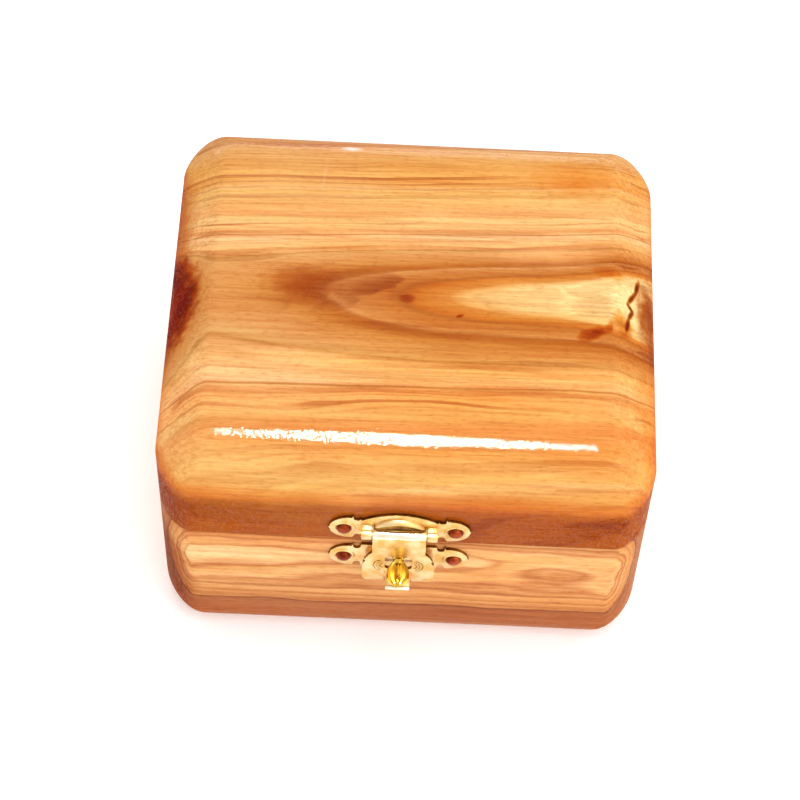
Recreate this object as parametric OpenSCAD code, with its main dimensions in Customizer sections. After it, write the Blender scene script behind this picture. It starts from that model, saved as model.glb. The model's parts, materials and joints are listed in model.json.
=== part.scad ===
// Small turned-edge wooden rosary box: two milled blocks, two butt hinges and a brass-plated swing hasp.
// Origin at the centre of the base's bottom face, +Z up, the hasp faces -Y, millimetres.

/* [Wood blocks] */
// Width of the box, left to right
box_w = 84; // [76:0.5:110]
// Depth of the wood, front to back
box_d = 74.6; // [66:0.2:100]
// Height of the base block
base_h = 32; // [28:0.5:50]
// Height of the lid block
lid_h = 20; // [18:0.5:34]
// How far each plan corner is cut back along the width
corner_x = 5.8; // [3:0.1:7]
// How far each plan corner is cut back along the depth
corner_y = 8.5; // [4:0.1:10]
// Shape of the plan corners: 1 is a flat cut, 2 a full ellipse
corner_power = 1.55; // [1.2:0.05:2.2]
// Small bevel on the two edges that meet at the seam
seam_bevel = 0.3; // [0.1:0.05:0.6]

/* [Lid top] */
// Height of the bevelled band round the lid's top
band_h = 6.6; // [4:0.1:8]
// How far the side bevels run in from the wall
side_run = 7.2; // [4:0.1:8.5]
// How far the rounded front and back edges run in from the wall
front_run = 9.2; // [5:0.1:11]
// Angle at which the front rounding leaves the wall
front_break = 24; // [5:1:40]
// Bulge of the side bevels: 1 is flat
side_bulge = 1.15; // [1:0.05:1.6]

/* [Base foot] */
// How far the base draws in at its bottom edge
foot_inset = 1.9; // [0.5:0.1:3]
// Height over which the base draws in
foot_h = 5.5; // [2:0.1:8]

/* [Hollows] */
// Thickness of the walls round the hollow
wall = 9; // [8:0.1:12]
// Thickness of the base's floor
floor_t = 6.6; // [4:0.1:10]
// Depth of the hollow in the lid
lid_hollow = 11.4; // [6:0.1:12]
// Radius of the cutter that milled the hollows' corners
cutter_r = 6; // [3:0.5:10]

/* [Hasp place] */
// Middle of the hasp, measured from the middle of the box
hasp_x = -0.5; // [-2:0.1:2]
// Height of the flap's hinge above the seam
flap_axis_up = 5; // [4.6:0.1:5.6]
// Gap between the flap's curl and the sheet behind it
curl_gap = 0.4; // [0.25:0.05:0.6]
// Height of the lid plate's nails above the seam
lid_ear_up = 4.7; // [4.2:0.1:5.5]
// Depth of the keeper plate's nails below the seam
keeper_ear_down = 4.5; // [4:0.1:5.5]
// Depth of the knob's axis below the seam
knob_down = 2.1; // [2:0.1:2.6]

/* [Hasp sheet] */
// Thickness of the stamped sheet
sheet_t = 0.6; // [0.4:0.05:0.8]
// Distance from the hasp's middle to each nail
ear_nail_x = 9.4; // [8.8:0.1:10.5]
// Distance from the hasp's middle to the tip of each ear
ear_tip_x = 12; // [11.5:0.1:13]
// Half the height of an ear
ear_half_h = 3.1; // [2.7:0.1:3.3]
// Height of the small point on each ear above its nail
ear_cusp_h = 3.8; // [3.5:0.1:4]
// Half the width of the plates between the ears
plate_half_w = 6.4; // [6:0.1:6.8]
// Rise of the lid plate's arched top edge above the flap's axis
arch_up = 4.2; // [3.8:0.1:4.6]
// Radius of the arched top edge
arch_r = 10.8; // [9:0.1:13]
// Depth of the lid plate's lower edge under the flap's axis
plate_low = 3.5; // [3:0.1:4]
// Depth of the keeper plate's upper edge below the seam
keeper_top = 0.8; // [0.5:0.1:1]
// Depth of the keeper plate's lower edge below the seam
keeper_foot = 8.2; // [7.5:0.1:9]
// Half the width of the pad that carries the knob
pad_half_w = 3.2; // [2.6:0.1:4]
// Depth of the pad's upper edge below the seam
pad_down = 0.5; // [0.3:0.05:0.7]
// How much further the pad reaches below the knob than above it
pad_low = 0.5; // [0:0.1:1.5]
// How far the arched hood stands out from the plate
hood_out = 1.2; // [0.9:0.05:1.3]
// Rise of the hood's window above the flap's axis
window_up = 2.1; // [1.9:0.05:2.3]

/* [Flap] */
// Outer radius of the flap's curl and of the knuckles beside it
curl_r = 0.9; // [0.8:0.05:1]
// Radius of the wire that the flap turns on
flap_pin_r = 0.4; // [0.3:0.05:0.45]
// Width of the flap at its curl
flap_top_w = 9; // [8.6:0.1:9.4]
// Width of the flap at its foot
flap_foot_w = 12.3; // [11:0.1:13]
// Length of the flap below its axis
flap_l = 13.8; // [13.4:0.1:16]
// Length of the flap's straight upper sides
flap_straight = 4.6; // [3.8:0.1:5.2]
// Height of the flap's straight foot, under its flare
flap_foot_h = 2.2; // [1.6:0.1:3]
// Depth of the small scallops in the flap's edges below its axis
scallop_down = 7.4; // [6.5:0.1:9]
// Radius of the small scallops
scallop_r = 0.6; // [0.4:0.05:0.8]
// Radius of the flap's lower corners
flap_corner_r = 1.2; // [0.6:0.1:2]
// Width of the finger tab
tab_w = 4.2; // [3.4:0.1:5]
// Length of the finger tab
tab_l = 3.5; // [2.6:0.1:4]
// Angle that the finger tab leans outwards
tab_lean = 26; // [10:1:40]

/* [Turn knob] */
// Width of the knob's blade
blade_w = 4; // [3.4:0.1:4.2]
// Thickness of the knob's blade
blade_t = 1; // [0.8:0.05:1.2]
// How far the knob stands out in front of the flap
knob_out = 4.8; // [3.6:0.1:5]
// Radius of the knob's round collar
collar_r = 1; // [0.8:0.05:1.1]
// Radius of the knob's shank in the keeper plate
shank_r = 0.6; // [0.4:0.05:0.7]
// Radius of the spread rivet end behind the keeper plate
rivet_r = 0.85; // [0.75:0.05:0.9]
// Length of the spread rivet end
rivet_l = 0.5; // [0.3:0.05:0.7]

/* [Nails] */
// Radius of the domed nail heads
nail_head_r = 1.2; // [1:0.05:1.4]
// Height of the domed nail heads
nail_head_h = 0.7; // [0.4:0.05:0.9]
// Radius of the nail shanks
nail_r = 0.55; // [0.4:0.05:0.65]
// Length of the nail shanks in the wood
nail_l = 7.4; // [5:0.1:7.8]

/* [Hinges] */
// Distance from each side of the box to the middle of its hinge
hinge_from_side = 20; // [18:0.5:24]
// Length of a hinge along its pin
hinge_l = 16; // [12:0.5:20]
// Depth of a hinge leaf from the back of the box
leaf_w = 6.3; // [5:0.1:7]
// Thickness of a hinge leaf
leaf_t = 0.7; // [0.5:0.05:0.75]
// Depth of the recess that holds a hinge leaf
mortise_t = 0.8; // [0.8:0.05:1.2]
// Outer radius of the hinge barrel
barrel_r = 1.05; // [0.9:0.05:1.2]
// Radius of the hinge pin
pin_r = 0.5; // [0.35:0.05:0.55]
// Radius of the rounded ends of the hinge pin
pin_head_r = 0.8; // [0.65:0.05:0.9]
// Number of knuckles in each barrel, an odd number
knuckles = 5; // [3:2:7]
// Distance between the two nails of a leaf
hinge_nail_pitch = 9; // [7:0.5:11]
// Radius of the flush nail heads in the leaves
flush_head_r = 1; // [0.8:0.05:1.2]
// Radius of the nails in the leaves
hinge_nail_r = 0.45; // [0.35:0.05:0.55]
// Length of the nails in the leaves
hinge_nail_l = 5.5; // [4:0.1:7]

/* [Clearances] */
// Running clearance round a pin or shank, on the radius
run_clear = 0.04; // [0.02:0.01:0.08]
// Clearance round a nail in its hole in the wood, on the radius
pilot_clear = 0.02; // [0.01:0.01:0.05]
// Clearance between parts that pass each other
pass_clear = 0.3; // [0.2:0.05:0.35]
// Side clearance between neighbouring knuckles, and round a leaf in its recess
side_clear = 0.15; // [0.1:0.05:0.25]

/* [Hidden] */
$fn = 48;

// A cut is carried this far past the face that it opens, so that no skin is left
over = 1;
// Two shapes of one piece run this far into each other where they meet
bite = 0.1;
// Corner that is left where the lid's bevels meet at the top
top_corner = 0.5;
// How strongly the base's foot eases into its wall, and the flap's flare into its foot
foot_power = 1.8;
flare_power = 2.2;
// Number of stretches in a plan corner, up the lid's band and up the foot
corner_steps = 6;
band_steps = 8;
foot_steps = 5;

seam_z = base_h;
top_z = base_h + lid_h;
band_z = top_z - band_h;
front_y = -box_d / 2;
back_y = box_d / 2;
hollow_w = box_w - 2 * wall;
hollow_d = box_d - 2 * wall;

sheet_y = front_y - sheet_t;
flap_axis_y = sheet_y - curl_gap - curl_r;
flap_axis_z = seam_z + flap_axis_up;
flap_front_y = flap_axis_y - curl_r;
flap_back_y = flap_front_y + sheet_t;
knuckle_in = flap_top_w / 2 + side_clear;
// An ear is widest at leaf_mid and begins at ear_root; its tip is blunt, and its cusp leans over the notch
leaf_mid = ear_nail_x - 0.9;
ear_root = leaf_mid - 0.5;
tip_half = 0.2;
cusp_lean = 0.15;
// Half-round notches between the ears and the plate: their radius, place and depths below and above the nail
notch_r = 0.6;
notch_x = plate_half_w + 0.75;
notch_low = 2.5;
notch_high = 3;
// The hood narrows from its root on the plate to its face, and is pressed from sheet as thick as hood_wall
hood_root_in = 0.2;
hood_face_in = 1.3;
hood_foot = 1.1;
hood_wall = 0.5;
hood_lip = 0.3;
hood_half_w = knuckle_in + hood_lip;
lid_ear_z = seam_z + lid_ear_up;
keeper_ear_z = seam_z - keeper_ear_down;
knob_z = seam_z - knob_down;
// The keeper's pad reaches out to just behind the flap and stays under the seam
pad_front_y = flap_back_y + pass_clear;
pad_top_z = seam_z - pad_down;
pad_bottom_z = 2 * knob_z - pad_top_z - pad_low;
collar_front_y = flap_front_y - pass_clear;
knob_tip_y = flap_front_y - knob_out;
// Distances of the knob and of its blade's lower tip from the flap's axis
knob_drop = flap_axis_z - knob_z;
tip_reach = norm([flap_axis_y - knob_tip_y, knob_drop + blade_t / 2]);
slot_top = knob_drop - collar_r - pass_clear;
slot_bottom = tip_reach + pass_clear;
slot_half_w = blade_w / 2 + pass_clear;
slot_corner_r = 0.8;
// Share of a scallop's radius by which its centre stands outside the flap's edge
scallop_out = 0.6;
// The flap's foot has a notch for the finger tab, which bends out of the strip under the slot
slot_strip = 0.7;
tab_bend = slot_bottom + slot_strip;
tab_notch_half = tab_w / 2 + pass_clear;
tab_root = 0.3;
// The ends of the flap's wire are nipped a little wider, just outside the knuckles
nip_r = flap_pin_r + 0.15;
nip_l = 0.25;

// The knob's blade narrows to a neck at the collar, and a round rib runs along its middle
blade_r = blade_w / 2;
neck_half = 0.7;
shoulder_half = 0.92 * blade_r;
shoulder_y = knob_tip_y + 1.35 * blade_r;
rib_r = 0.65;
// Nails end in a point of this length and end radius
point_l = 1;
point_r = 0.1;

hinge_x = box_w / 2 - hinge_from_side;
hinge_axis_y = back_y + barrel_r + pass_clear;
knuckle_l = (hinge_l - (knuckles - 1) * side_clear) / knuckles;
leaf_nail_y = back_y - leaf_w / 2;
// The countersink leaves this much straight bore in a leaf, and has a short straight rim
flush_edge = 0.15;
flush_rim = 0.05;
flush_head_h = leaf_t - flush_edge;
flush_point_l = 0.55;
// Rise of a hinge pin's domed end, as a share of its radius
pin_dome = 0.6;

// One closed outline of the box's plan: half sizes hx and hy, corner cuts cx and cy, at height z
function quarter(hx, hy, cx, cy, a) =
    [hx - cx + cx * pow(max(cos(a), 0), 2 / corner_power),
        hy - cy + cy * pow(max(sin(a), 0), 2 / corner_power)];
function quarter_pts(hx, hy, cx, cy) =
    [for (i = [0 : corner_steps]) quarter(hx, hy, cx, cy, 90 * i / corner_steps)];
function reversed(v) = [for (i = [len(v) - 1 : -1 : 0]) v[i]];
function ring(hx, hy, cx, cy, z) =
    let (q = quarter_pts(hx, hy, cx, cy))
    concat([for (p = q) [p.x, p.y, z]],
        [for (p = reversed(q)) [-p.x, p.y, z]],
        [for (p = q) [-p.x, -p.y, z]],
        [for (p = reversed(q)) [p.x, -p.y, z]]);
function wall_ring(inset, z) = ring(box_w / 2 - inset, box_d / 2 - inset, corner_x, corner_y, z);

// A solid skinned over rings of equal length, lowest ring first
module skin(rings) {
    n = len(rings[0]);
    last = (len(rings) - 1) * n;
    side = [for (k = [0 : len(rings) - 2]) for (i = [0 : n - 1])
        let (a = k * n + i, b = k * n + (i + 1) % n)
        for (t = [[a, a + n, b], [b, a + n, b + n]]) t];
    bottom = [[for (i = [0 : n - 1]) i]];
    top = [[for (i = [n - 1 : -1 : 0]) last + i]];
    polyhedron(points = [for (r = rings) each r], faces = concat(bottom, side, top), convexity = 4);
}

function foot_ring(k) =
    let (v = k / foot_steps)
    wall_ring(foot_inset * pow(1 - v, foot_power), foot_h * v);

// The band's rings follow a rounded front edge, and the side bevels take the same heights
function band_ring(k) =
    let (a = front_break + (90 - front_break) * k / band_steps,
        v = (sin(a) - sin(front_break)) / (1 - sin(front_break)),
        in_x = side_run * pow(v, side_bulge),
        in_y = front_run * (cos(front_break) - cos(a)) / cos(front_break),
        left = 1 - v)
    ring(box_w / 2 - in_x, box_d / 2 - in_y,
        top_corner + (corner_x - top_corner) * left, top_corner + (corner_y - top_corner) * left,
        band_z + band_h * v);

module rounded_rect(w, d, r) {
    square([w - 2 * r, d], center = true);
    square([w, d - 2 * r], center = true);
    for (x = [-1, 1], y = [-1, 1]) translate([x * (w / 2 - r), y * (d / 2 - r)]) circle(r);
}

// A rod along Y from y0 to y1
module rod_y(r, y0, y1) {
    translate([0, y1, 0]) rotate([90, 0, 0]) cylinder(h = y1 - y0, r = r);
}

// A rod along X from x0 to x1
module rod_x(r, x0, x1) {
    translate([x0, 0, 0]) rotate([0, 90, 0]) cylinder(h = x1 - x0, r = r);
}

// A flat shape drawn in X and Z, standing from y0 out to y1 on the front
module on_front(y0, y1) {
    translate([0, y0, 0]) rotate([90, 0, 0]) linear_extrude(y0 - y1) children();
}

// Runs its children at the middle of each hinge
module at_hinges() {
    for (s = [-1, 1]) translate([s * hinge_x, 0, 0]) children();
}

// The wood's recess for a hinge leaf, between two heights
module mortise(z0, z1) {
    w = hinge_l + 2 * side_clear;
    d = leaf_w + side_clear;
    translate([-w / 2, back_y - d, z0]) cube([w, d + over, z1 - z0]);
}

module leaf_pilots(z0, z1) {
    for (s = [-1, 1]) translate([s * hinge_nail_pitch / 2, leaf_nail_y, z0])
        cylinder(h = z1 - z0, r = hinge_nail_r + pilot_clear);
}

module ear_pilots(z) {
    for (s = [-1, 1]) translate([hasp_x + s * ear_nail_x, 0, z])
        rod_y(nail_r + pilot_clear, front_y - over, front_y + nail_l + pilot_clear);
}

module base_block() {
    color("burlywood") difference() {
        skin(concat([for (k = [0 : foot_steps]) foot_ring(k)],
            [wall_ring(0, seam_z - seam_bevel), wall_ring(seam_bevel, seam_z)]));
        translate([0, 0, floor_t]) linear_extrude(seam_z - floor_t + over)
            rounded_rect(hollow_w, hollow_d, cutter_r);
        at_hinges() {
            mortise(seam_z - mortise_t, seam_z + over);
            leaf_pilots(seam_z - mortise_t - hinge_nail_l - pilot_clear, seam_z);
        }
        ear_pilots(keeper_ear_z);
    }
}

module lid_block() {
    color("peru") difference() {
        skin(concat([wall_ring(seam_bevel, seam_z), wall_ring(0, seam_z + seam_bevel)],
            [for (k = [0 : band_steps]) band_ring(k)]));
        translate([0, 0, seam_z - over]) linear_extrude(lid_hollow + over)
            rounded_rect(hollow_w, hollow_d, cutter_r);
        at_hinges() {
            mortise(seam_z - over, seam_z + mortise_t);
            leaf_pilots(seam_z, seam_z + mortise_t + hinge_nail_l + pilot_clear);
        }
        ear_pilots(lid_ear_z);
    }
}

// Half height of an ear's leaf at a distance x from the hasp's middle
function leaf_h(x) =
    let (half = ear_tip_x - leaf_mid, r = (pow(half, 2) + pow(ear_half_h, 2)) / (2 * ear_half_h))
    sqrt(pow(r, 2) - pow(x - leaf_mid, 2)) + ear_half_h - r;
// A half-round notch between an ear and its plate, drawn from right to left; side is 1 above and -1 below
function notch(v, side) =
    [for (a = [0 : 30 : 180]) [notch_x + notch_r * cos(a), side * (v - notch_r * sin(a))]];

// A pair of leaf-shaped ears about their nails, each with a small point above the notch
module ears() {
    xs = [for (k = [0 : 8]) ear_root + (ear_tip_x - tip_half - ear_root) * k / 8];
    for (s = [-1, 1]) scale([s, 1]) polygon(concat(
        [[plate_half_w - over, -notch_low]], reversed(notch(notch_low, -1)),
        [for (x = xs) [x, -leaf_h(x)]], [[ear_tip_x, -tip_half], [ear_tip_x, tip_half]],
        [for (x = reversed(xs)) [x, leaf_h(x)]], [[ear_root - cusp_lean, ear_cusp_h]],
        notch(notch_high, 1), [[plate_half_w - over, notch_high]]));
}

// Nail holes through a plate, from its face to the wood
module ear_holes(z) {
    for (s = [-1, 1]) translate([s * ear_nail_x, 0, z])
        rod_y(nail_r + pilot_clear, sheet_y - over, front_y + over);
}

// Part of a disc about the hasp's middle whose top stands at the given height above the flap's axis
module arch_face(up, r, half_w, foot) {
    intersection() {
        translate([0, up - r]) circle(r, $fn = 96);
        translate([-half_w, foot]) square([2 * half_w, r]);
    }
}

module hasp_lid_plate() {
    hood_y = sheet_y - hood_out;
    color("gold") translate([hasp_x, 0, 0]) difference() {
        union() {
            translate([0, 0, lid_ear_z]) on_front(front_y, sheet_y) ears();
            translate([0, 0, flap_axis_z]) {
                on_front(front_y, sheet_y) arch_face(arch_up, arch_r, plate_half_w, -plate_low);
                hull() {
                    on_front(sheet_y + bite, sheet_y)
                        arch_face(arch_up - hood_root_in, arch_r, plate_half_w, hood_foot);
                    on_front(hood_y + bite, hood_y)
                        arch_face(arch_up - hood_face_in, arch_r, hood_half_w, hood_foot);
                }
                for (s = [-1, 1]) scale([s, 1, 1]) {
                    translate([0, flap_axis_y, 0]) rod_x(curl_r, knuckle_in, plate_half_w);
                    translate([knuckle_in, flap_axis_y, 0])
                        cube([plate_half_w - knuckle_in, sheet_y - flap_axis_y, curl_r]);
                }
            }
        }
        // The window over the curl, and the hollow inside the hood
        translate([0, 0, flap_axis_z]) {
            on_front(sheet_y, hood_y - over) arch_face(window_up, arch_r, knuckle_in, -over);
            hull() {
                on_front(sheet_y, sheet_y - bite)
                    arch_face(arch_up - hood_root_in - hood_wall, arch_r, knuckle_in, 0);
                on_front(hood_y + hood_wall, hood_y + hood_wall - bite)
                    arch_face(arch_up - hood_face_in - hood_wall, arch_r, knuckle_in, 0);
            }
            translate([0, flap_axis_y, 0])
                rod_x(flap_pin_r + run_clear, -plate_half_w - over, plate_half_w + over);
        }
        ear_holes(lid_ear_z);
    }
}

// Half outline of the flap: straight sides, an ogee flare and rounded lower corners
function flap_side(v) =
    let (f = (v - flap_straight) / (flap_l - flap_foot_h - flap_straight))
    flap_top_w / 2 + (flap_foot_w - flap_top_w) / 2 * (1 - pow(1 - min(f, 1), flare_power));
module flap_face() {
    r = flap_corner_r;
    rows = [for (k = [0 : 8]) flap_straight + (flap_l - flap_foot_h - flap_straight) * k / 8];
    difference() {
        union() {
            for (s = [-1, 1]) scale([s, 1]) {
                polygon(concat([[0, 0], [flap_top_w / 2, 0]],
                    [for (v = rows) [flap_side(v), -v]],
                    [[flap_foot_w / 2, r - flap_l], [0, r - flap_l]]));
                translate([0, -flap_l]) square([flap_foot_w / 2 - r, r + bite]);
                translate([flap_foot_w / 2 - r, r - flap_l]) circle(r);
            }
        }
        translate([0, -(slot_top + slot_bottom) / 2])
            rounded_rect(2 * slot_half_w, slot_bottom - slot_top, slot_corner_r);
        translate([-tab_notch_half, -flap_l - over]) square([2 * tab_notch_half, flap_l + over - tab_bend]);
        // Small scallops on the edges, level with the notches between the plates' ears
        for (s = [-1, 1]) translate([s * (flap_side(scallop_down) + scallop_r * scallop_out), -scallop_down])
            circle(scallop_r);
    }
}

module hasp_flap() {
    color("khaki") translate([hasp_x, 0, flap_axis_z]) difference() {
        union() {
            translate([0, flap_axis_y, 0]) rod_x(curl_r, -flap_top_w / 2, flap_top_w / 2);
            on_front(flap_back_y, flap_front_y) flap_face();
            translate([0, flap_front_y, -tab_bend]) rotate([-tab_lean, 0, 0])
                translate([-tab_w / 2, 0, -tab_l]) cube([tab_w, sheet_t, tab_l + tab_root]);
        }
        translate([0, flap_axis_y, 0]) rod_x(flap_pin_r + run_clear, -flap_top_w, flap_top_w);
    }
}

module hasp_flap_pin() {
    color("goldenrod") translate([hasp_x, flap_axis_y, flap_axis_z]) {
        rod_x(flap_pin_r, -plate_half_w - bite, plate_half_w + bite);
        for (s = [-1, 1]) scale([s, 1, 1]) rod_x(nip_r, plate_half_w, plate_half_w + nip_l);
    }
}

module hasp_keeper_plate() {
    color("gold") translate([hasp_x, 0, 0]) difference() {
        union() {
            translate([0, 0, keeper_ear_z]) on_front(front_y, sheet_y) ears();
            translate([0, 0, seam_z]) on_front(front_y, sheet_y)
                translate([-plate_half_w, -keeper_foot])
                    square([2 * plate_half_w, keeper_foot - keeper_top]);
            translate([0, 0, (pad_top_z + pad_bottom_z) / 2]) on_front(front_y, pad_front_y)
                rounded_rect(2 * pad_half_w, pad_top_z - pad_bottom_z, slot_corner_r);
        }
        translate([0, 0, knob_z]) {
            rod_y(shank_r + run_clear, pad_front_y - over, front_y + over);
            rod_y(rivet_r + pass_clear / 2, pad_front_y + sheet_t, front_y + over);
        }
        ear_holes(keeper_ear_z);
    }
}

// The blade seen from above: a round end drawn in towards the collar
module blade_face() {
    translate([0, knob_tip_y + blade_r]) circle(blade_r);
    polygon([[-neck_half, collar_front_y], [neck_half, collar_front_y],
        [shoulder_half, shoulder_y], [-shoulder_half, shoulder_y]]);
}

module turn_knob() {
    rivet_y = pad_front_y + sheet_t + run_clear;
    color("goldenrod") translate([hasp_x, 0, knob_z]) {
        rod_y(rivet_r, rivet_y, rivet_y + rivet_l);
        rod_y(shank_r, pad_front_y - run_clear, rivet_y + bite);
        rod_y(collar_r, collar_front_y, pad_front_y - run_clear);
        translate([0, 0, -blade_t / 2]) linear_extrude(blade_t) blade_face();
        rod_y(rib_r, knob_tip_y + blade_r, collar_front_y + bite);
        translate([0, knob_tip_y + blade_r, 0]) sphere(rib_r);
    }
}

// A domed nail driven in from the front; the head's underside sits on the sheet
module hasp_nail(s, z) {
    dome_r = (pow(nail_head_r, 2) + pow(nail_head_h, 2)) / (2 * nail_head_h);
    color("sienna") translate([hasp_x + s * ear_nail_x, sheet_y, z]) rotate([90, 0, 0]) {
        intersection() {
            translate([0, 0, nail_head_h - dome_r]) sphere(dome_r);
            cylinder(h = nail_head_h + over, r = nail_head_r + bite);
        }
        translate([0, 0, point_l - sheet_t - nail_l])
            cylinder(h = sheet_t + nail_l - point_l + bite, r = nail_r);
        translate([0, 0, -sheet_t - nail_l]) cylinder(h = point_l, r1 = point_r, r2 = nail_r);
    }
}

module nail_upper_left() { hasp_nail(-1, lid_ear_z); }
module nail_upper_right() { hasp_nail(1, lid_ear_z); }
module nail_lower_left() { hasp_nail(-1, keeper_ear_z); }
module nail_lower_right() { hasp_nail(1, keeper_ear_z); }

// A hinge leaf seen from the base, about the seam; first is 0 for the outer knuckles and 1 for those between
module leaf(first) {
    difference() {
        union() {
            translate([-hinge_l / 2, back_y - leaf_w, -mortise_t]) cube([hinge_l, leaf_w, leaf_t]);
            for (k = [first : 2 : knuckles - 1])
                translate([-hinge_l / 2 + k * (knuckle_l + side_clear), 0, 0]) {
                    translate([0, back_y - bite, -mortise_t])
                        cube([knuckle_l, hinge_axis_y - back_y + bite, leaf_t]);
                    translate([0, hinge_axis_y, 0]) rod_x(barrel_r, 0, knuckle_l);
                }
        }
        translate([0, hinge_axis_y, 0]) rod_x(pin_r + run_clear, -hinge_l, hinge_l);
        for (s = [-1, 1]) translate([s * hinge_nail_pitch / 2, leaf_nail_y, -mortise_t]) {
            translate([0, 0, -over]) cylinder(h = 2 * over, r = hinge_nail_r + pilot_clear);
            translate([0, 0, leaf_t - flush_head_h])
                cylinder(h = flush_head_h, r1 = hinge_nail_r + pilot_clear, r2 = flush_head_r + pilot_clear);
            translate([0, 0, leaf_t - flush_rim]) cylinder(h = over, r = flush_head_r + pilot_clear);
        }
    }
}

module base_leaf(s) { color("darkgoldenrod") translate([s * hinge_x, 0, seam_z]) leaf(0); }
module lid_leaf(s) { color("darkgoldenrod") translate([s * hinge_x, 0, seam_z]) mirror([0, 0, 1]) leaf(1); }
module hinge_left_base_leaf() { base_leaf(-1); }
module hinge_left_lid_leaf() { lid_leaf(-1); }
module hinge_right_base_leaf() { base_leaf(1); }
module hinge_right_lid_leaf() { lid_leaf(1); }

// Half profile of a hinge pin about its own axis, as radius and place, with a domed head at the end
function pin_end() =
    let (x = hinge_l / 2)
    concat([[pin_r, x], [pin_head_r, x]],
        [for (a = [18 : 18 : 72]) [pin_head_r * cos(a), x + pin_head_r * pin_dome * sin(a)]],
        [[0, x + pin_head_r * pin_dome]]);

module barrel_pin(s) {
    end = pin_end();
    color("goldenrod") translate([s * hinge_x, hinge_axis_y, seam_z]) rotate([0, 90, 0]) rotate_extrude()
        polygon(concat([for (p = reversed(end)) [p.x, -p.y]], end));
}
module hinge_left_pin() { barrel_pin(-1); }
module hinge_right_pin() { barrel_pin(1); }

// A flush nail of a leaf: d is 1 in the base and -1 in the lid, t is 1 for the outer nail, -1 for the inner
module leaf_nail(s, d, t) {
    x = s * (hinge_x + t * hinge_nail_pitch / 2);
    color("goldenrod") translate([x, leaf_nail_y, seam_z]) scale([1, 1, d]) translate([0, 0, -mortise_t]) {
        translate([0, 0, leaf_t - flush_head_h])
            cylinder(h = flush_head_h, r1 = hinge_nail_r, r2 = flush_head_r);
        translate([0, 0, flush_point_l - hinge_nail_l])
            cylinder(h = hinge_nail_l - flush_point_l + flush_edge, r = hinge_nail_r);
        translate([0, 0, -hinge_nail_l]) cylinder(h = flush_point_l, r1 = point_r, r2 = hinge_nail_r);
    }
}
module hinge_left_base_nail_outer() { leaf_nail(-1, 1, 1); }
module hinge_left_base_nail_inner() { leaf_nail(-1, 1, -1); }
module hinge_left_lid_nail_outer() { leaf_nail(-1, -1, 1); }
module hinge_left_lid_nail_inner() { leaf_nail(-1, -1, -1); }
module hinge_right_base_nail_outer() { leaf_nail(1, 1, 1); }
module hinge_right_base_nail_inner() { leaf_nail(1, 1, -1); }
module hinge_right_lid_nail_outer() { leaf_nail(1, -1, 1); }
module hinge_right_lid_nail_inner() { leaf_nail(1, -1, -1); }

base_block();
lid_block();
hasp_lid_plate();
hasp_flap();
hasp_flap_pin();
hasp_keeper_plate();
turn_knob();
nail_upper_left();
nail_upper_right();
nail_lower_left();
nail_lower_right();
hinge_left_base_leaf();
hinge_left_lid_leaf();
hinge_left_pin();
hinge_right_base_leaf();
hinge_right_lid_leaf();
hinge_right_pin();
hinge_left_base_nail_outer();
hinge_left_base_nail_inner();
hinge_left_lid_nail_outer();
hinge_left_lid_nail_inner();
hinge_right_base_nail_outer();
hinge_right_base_nail_inner();
hinge_right_lid_nail_outer();
hinge_right_lid_nail_inner();
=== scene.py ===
"""Looks of a small olive wood rosary box, with a plated swing hasp and brass butt hinges."""

from __future__ import annotations

import json
import logging
import math
from collections.abc import Callable
from dataclasses import dataclass
from enum import Enum
from functools import partial

import bmesh
import bpy
from mathutils import Matrix, Vector


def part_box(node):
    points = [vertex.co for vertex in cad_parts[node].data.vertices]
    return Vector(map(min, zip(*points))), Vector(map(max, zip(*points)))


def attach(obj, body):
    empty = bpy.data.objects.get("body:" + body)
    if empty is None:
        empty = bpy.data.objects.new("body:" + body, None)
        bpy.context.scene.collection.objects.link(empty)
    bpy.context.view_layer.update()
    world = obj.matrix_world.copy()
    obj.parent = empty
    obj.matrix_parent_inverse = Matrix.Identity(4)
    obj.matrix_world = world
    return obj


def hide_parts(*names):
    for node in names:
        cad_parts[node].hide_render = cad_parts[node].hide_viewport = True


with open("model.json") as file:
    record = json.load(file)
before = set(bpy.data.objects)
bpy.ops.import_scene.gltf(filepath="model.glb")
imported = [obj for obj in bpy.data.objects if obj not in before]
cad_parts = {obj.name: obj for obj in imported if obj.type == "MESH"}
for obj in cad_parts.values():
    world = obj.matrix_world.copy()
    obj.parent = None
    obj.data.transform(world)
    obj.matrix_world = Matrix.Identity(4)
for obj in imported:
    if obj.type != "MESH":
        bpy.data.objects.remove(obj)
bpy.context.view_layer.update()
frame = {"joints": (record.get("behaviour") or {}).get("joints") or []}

LOG = logging.getLogger("rosary_box")
MM = 0.001

Pair = tuple[float, float]
Point = tuple[float, float, float]
Stop = tuple[float, str]
Outline = list[Pair]
Socket = bpy.types.NodeSocket
Material = bpy.types.Material
Mesh = bmesh.types.BMesh
Adder = Callable[..., Socket]
RGBA = {"data_type": "RGBA"}
MULTIPLY = {**RGBA, "blend_type": "MULTIPLY"}
# What a mark adds at its edge: nothing to wood that it darkens, and nothing to wood that it lightens
NO_TINT = "ffffff"
NO_LIGHT = "000000"
# Edges that turn more than CRISP degrees are shaded crisp, and those of sheet metal past FOLD are rounded
CRISP = 32.0
FOLD = 50.0


class Body(str, Enum):
    """The four bodies that pieces ride on."""

    BASE = "base"
    LID = "lid"
    FLAP = "flap"
    KNOB = "knob"


class Varnish(Enum):
    """How a wooden surface was left."""

    GLOSS = "gloss"
    BARE = "bare"


class Blend(Enum):
    """What a mark in the wood does to its colour."""

    DARKEN = "MULTIPLY"
    LIGHTEN = "SCREEN"


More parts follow.
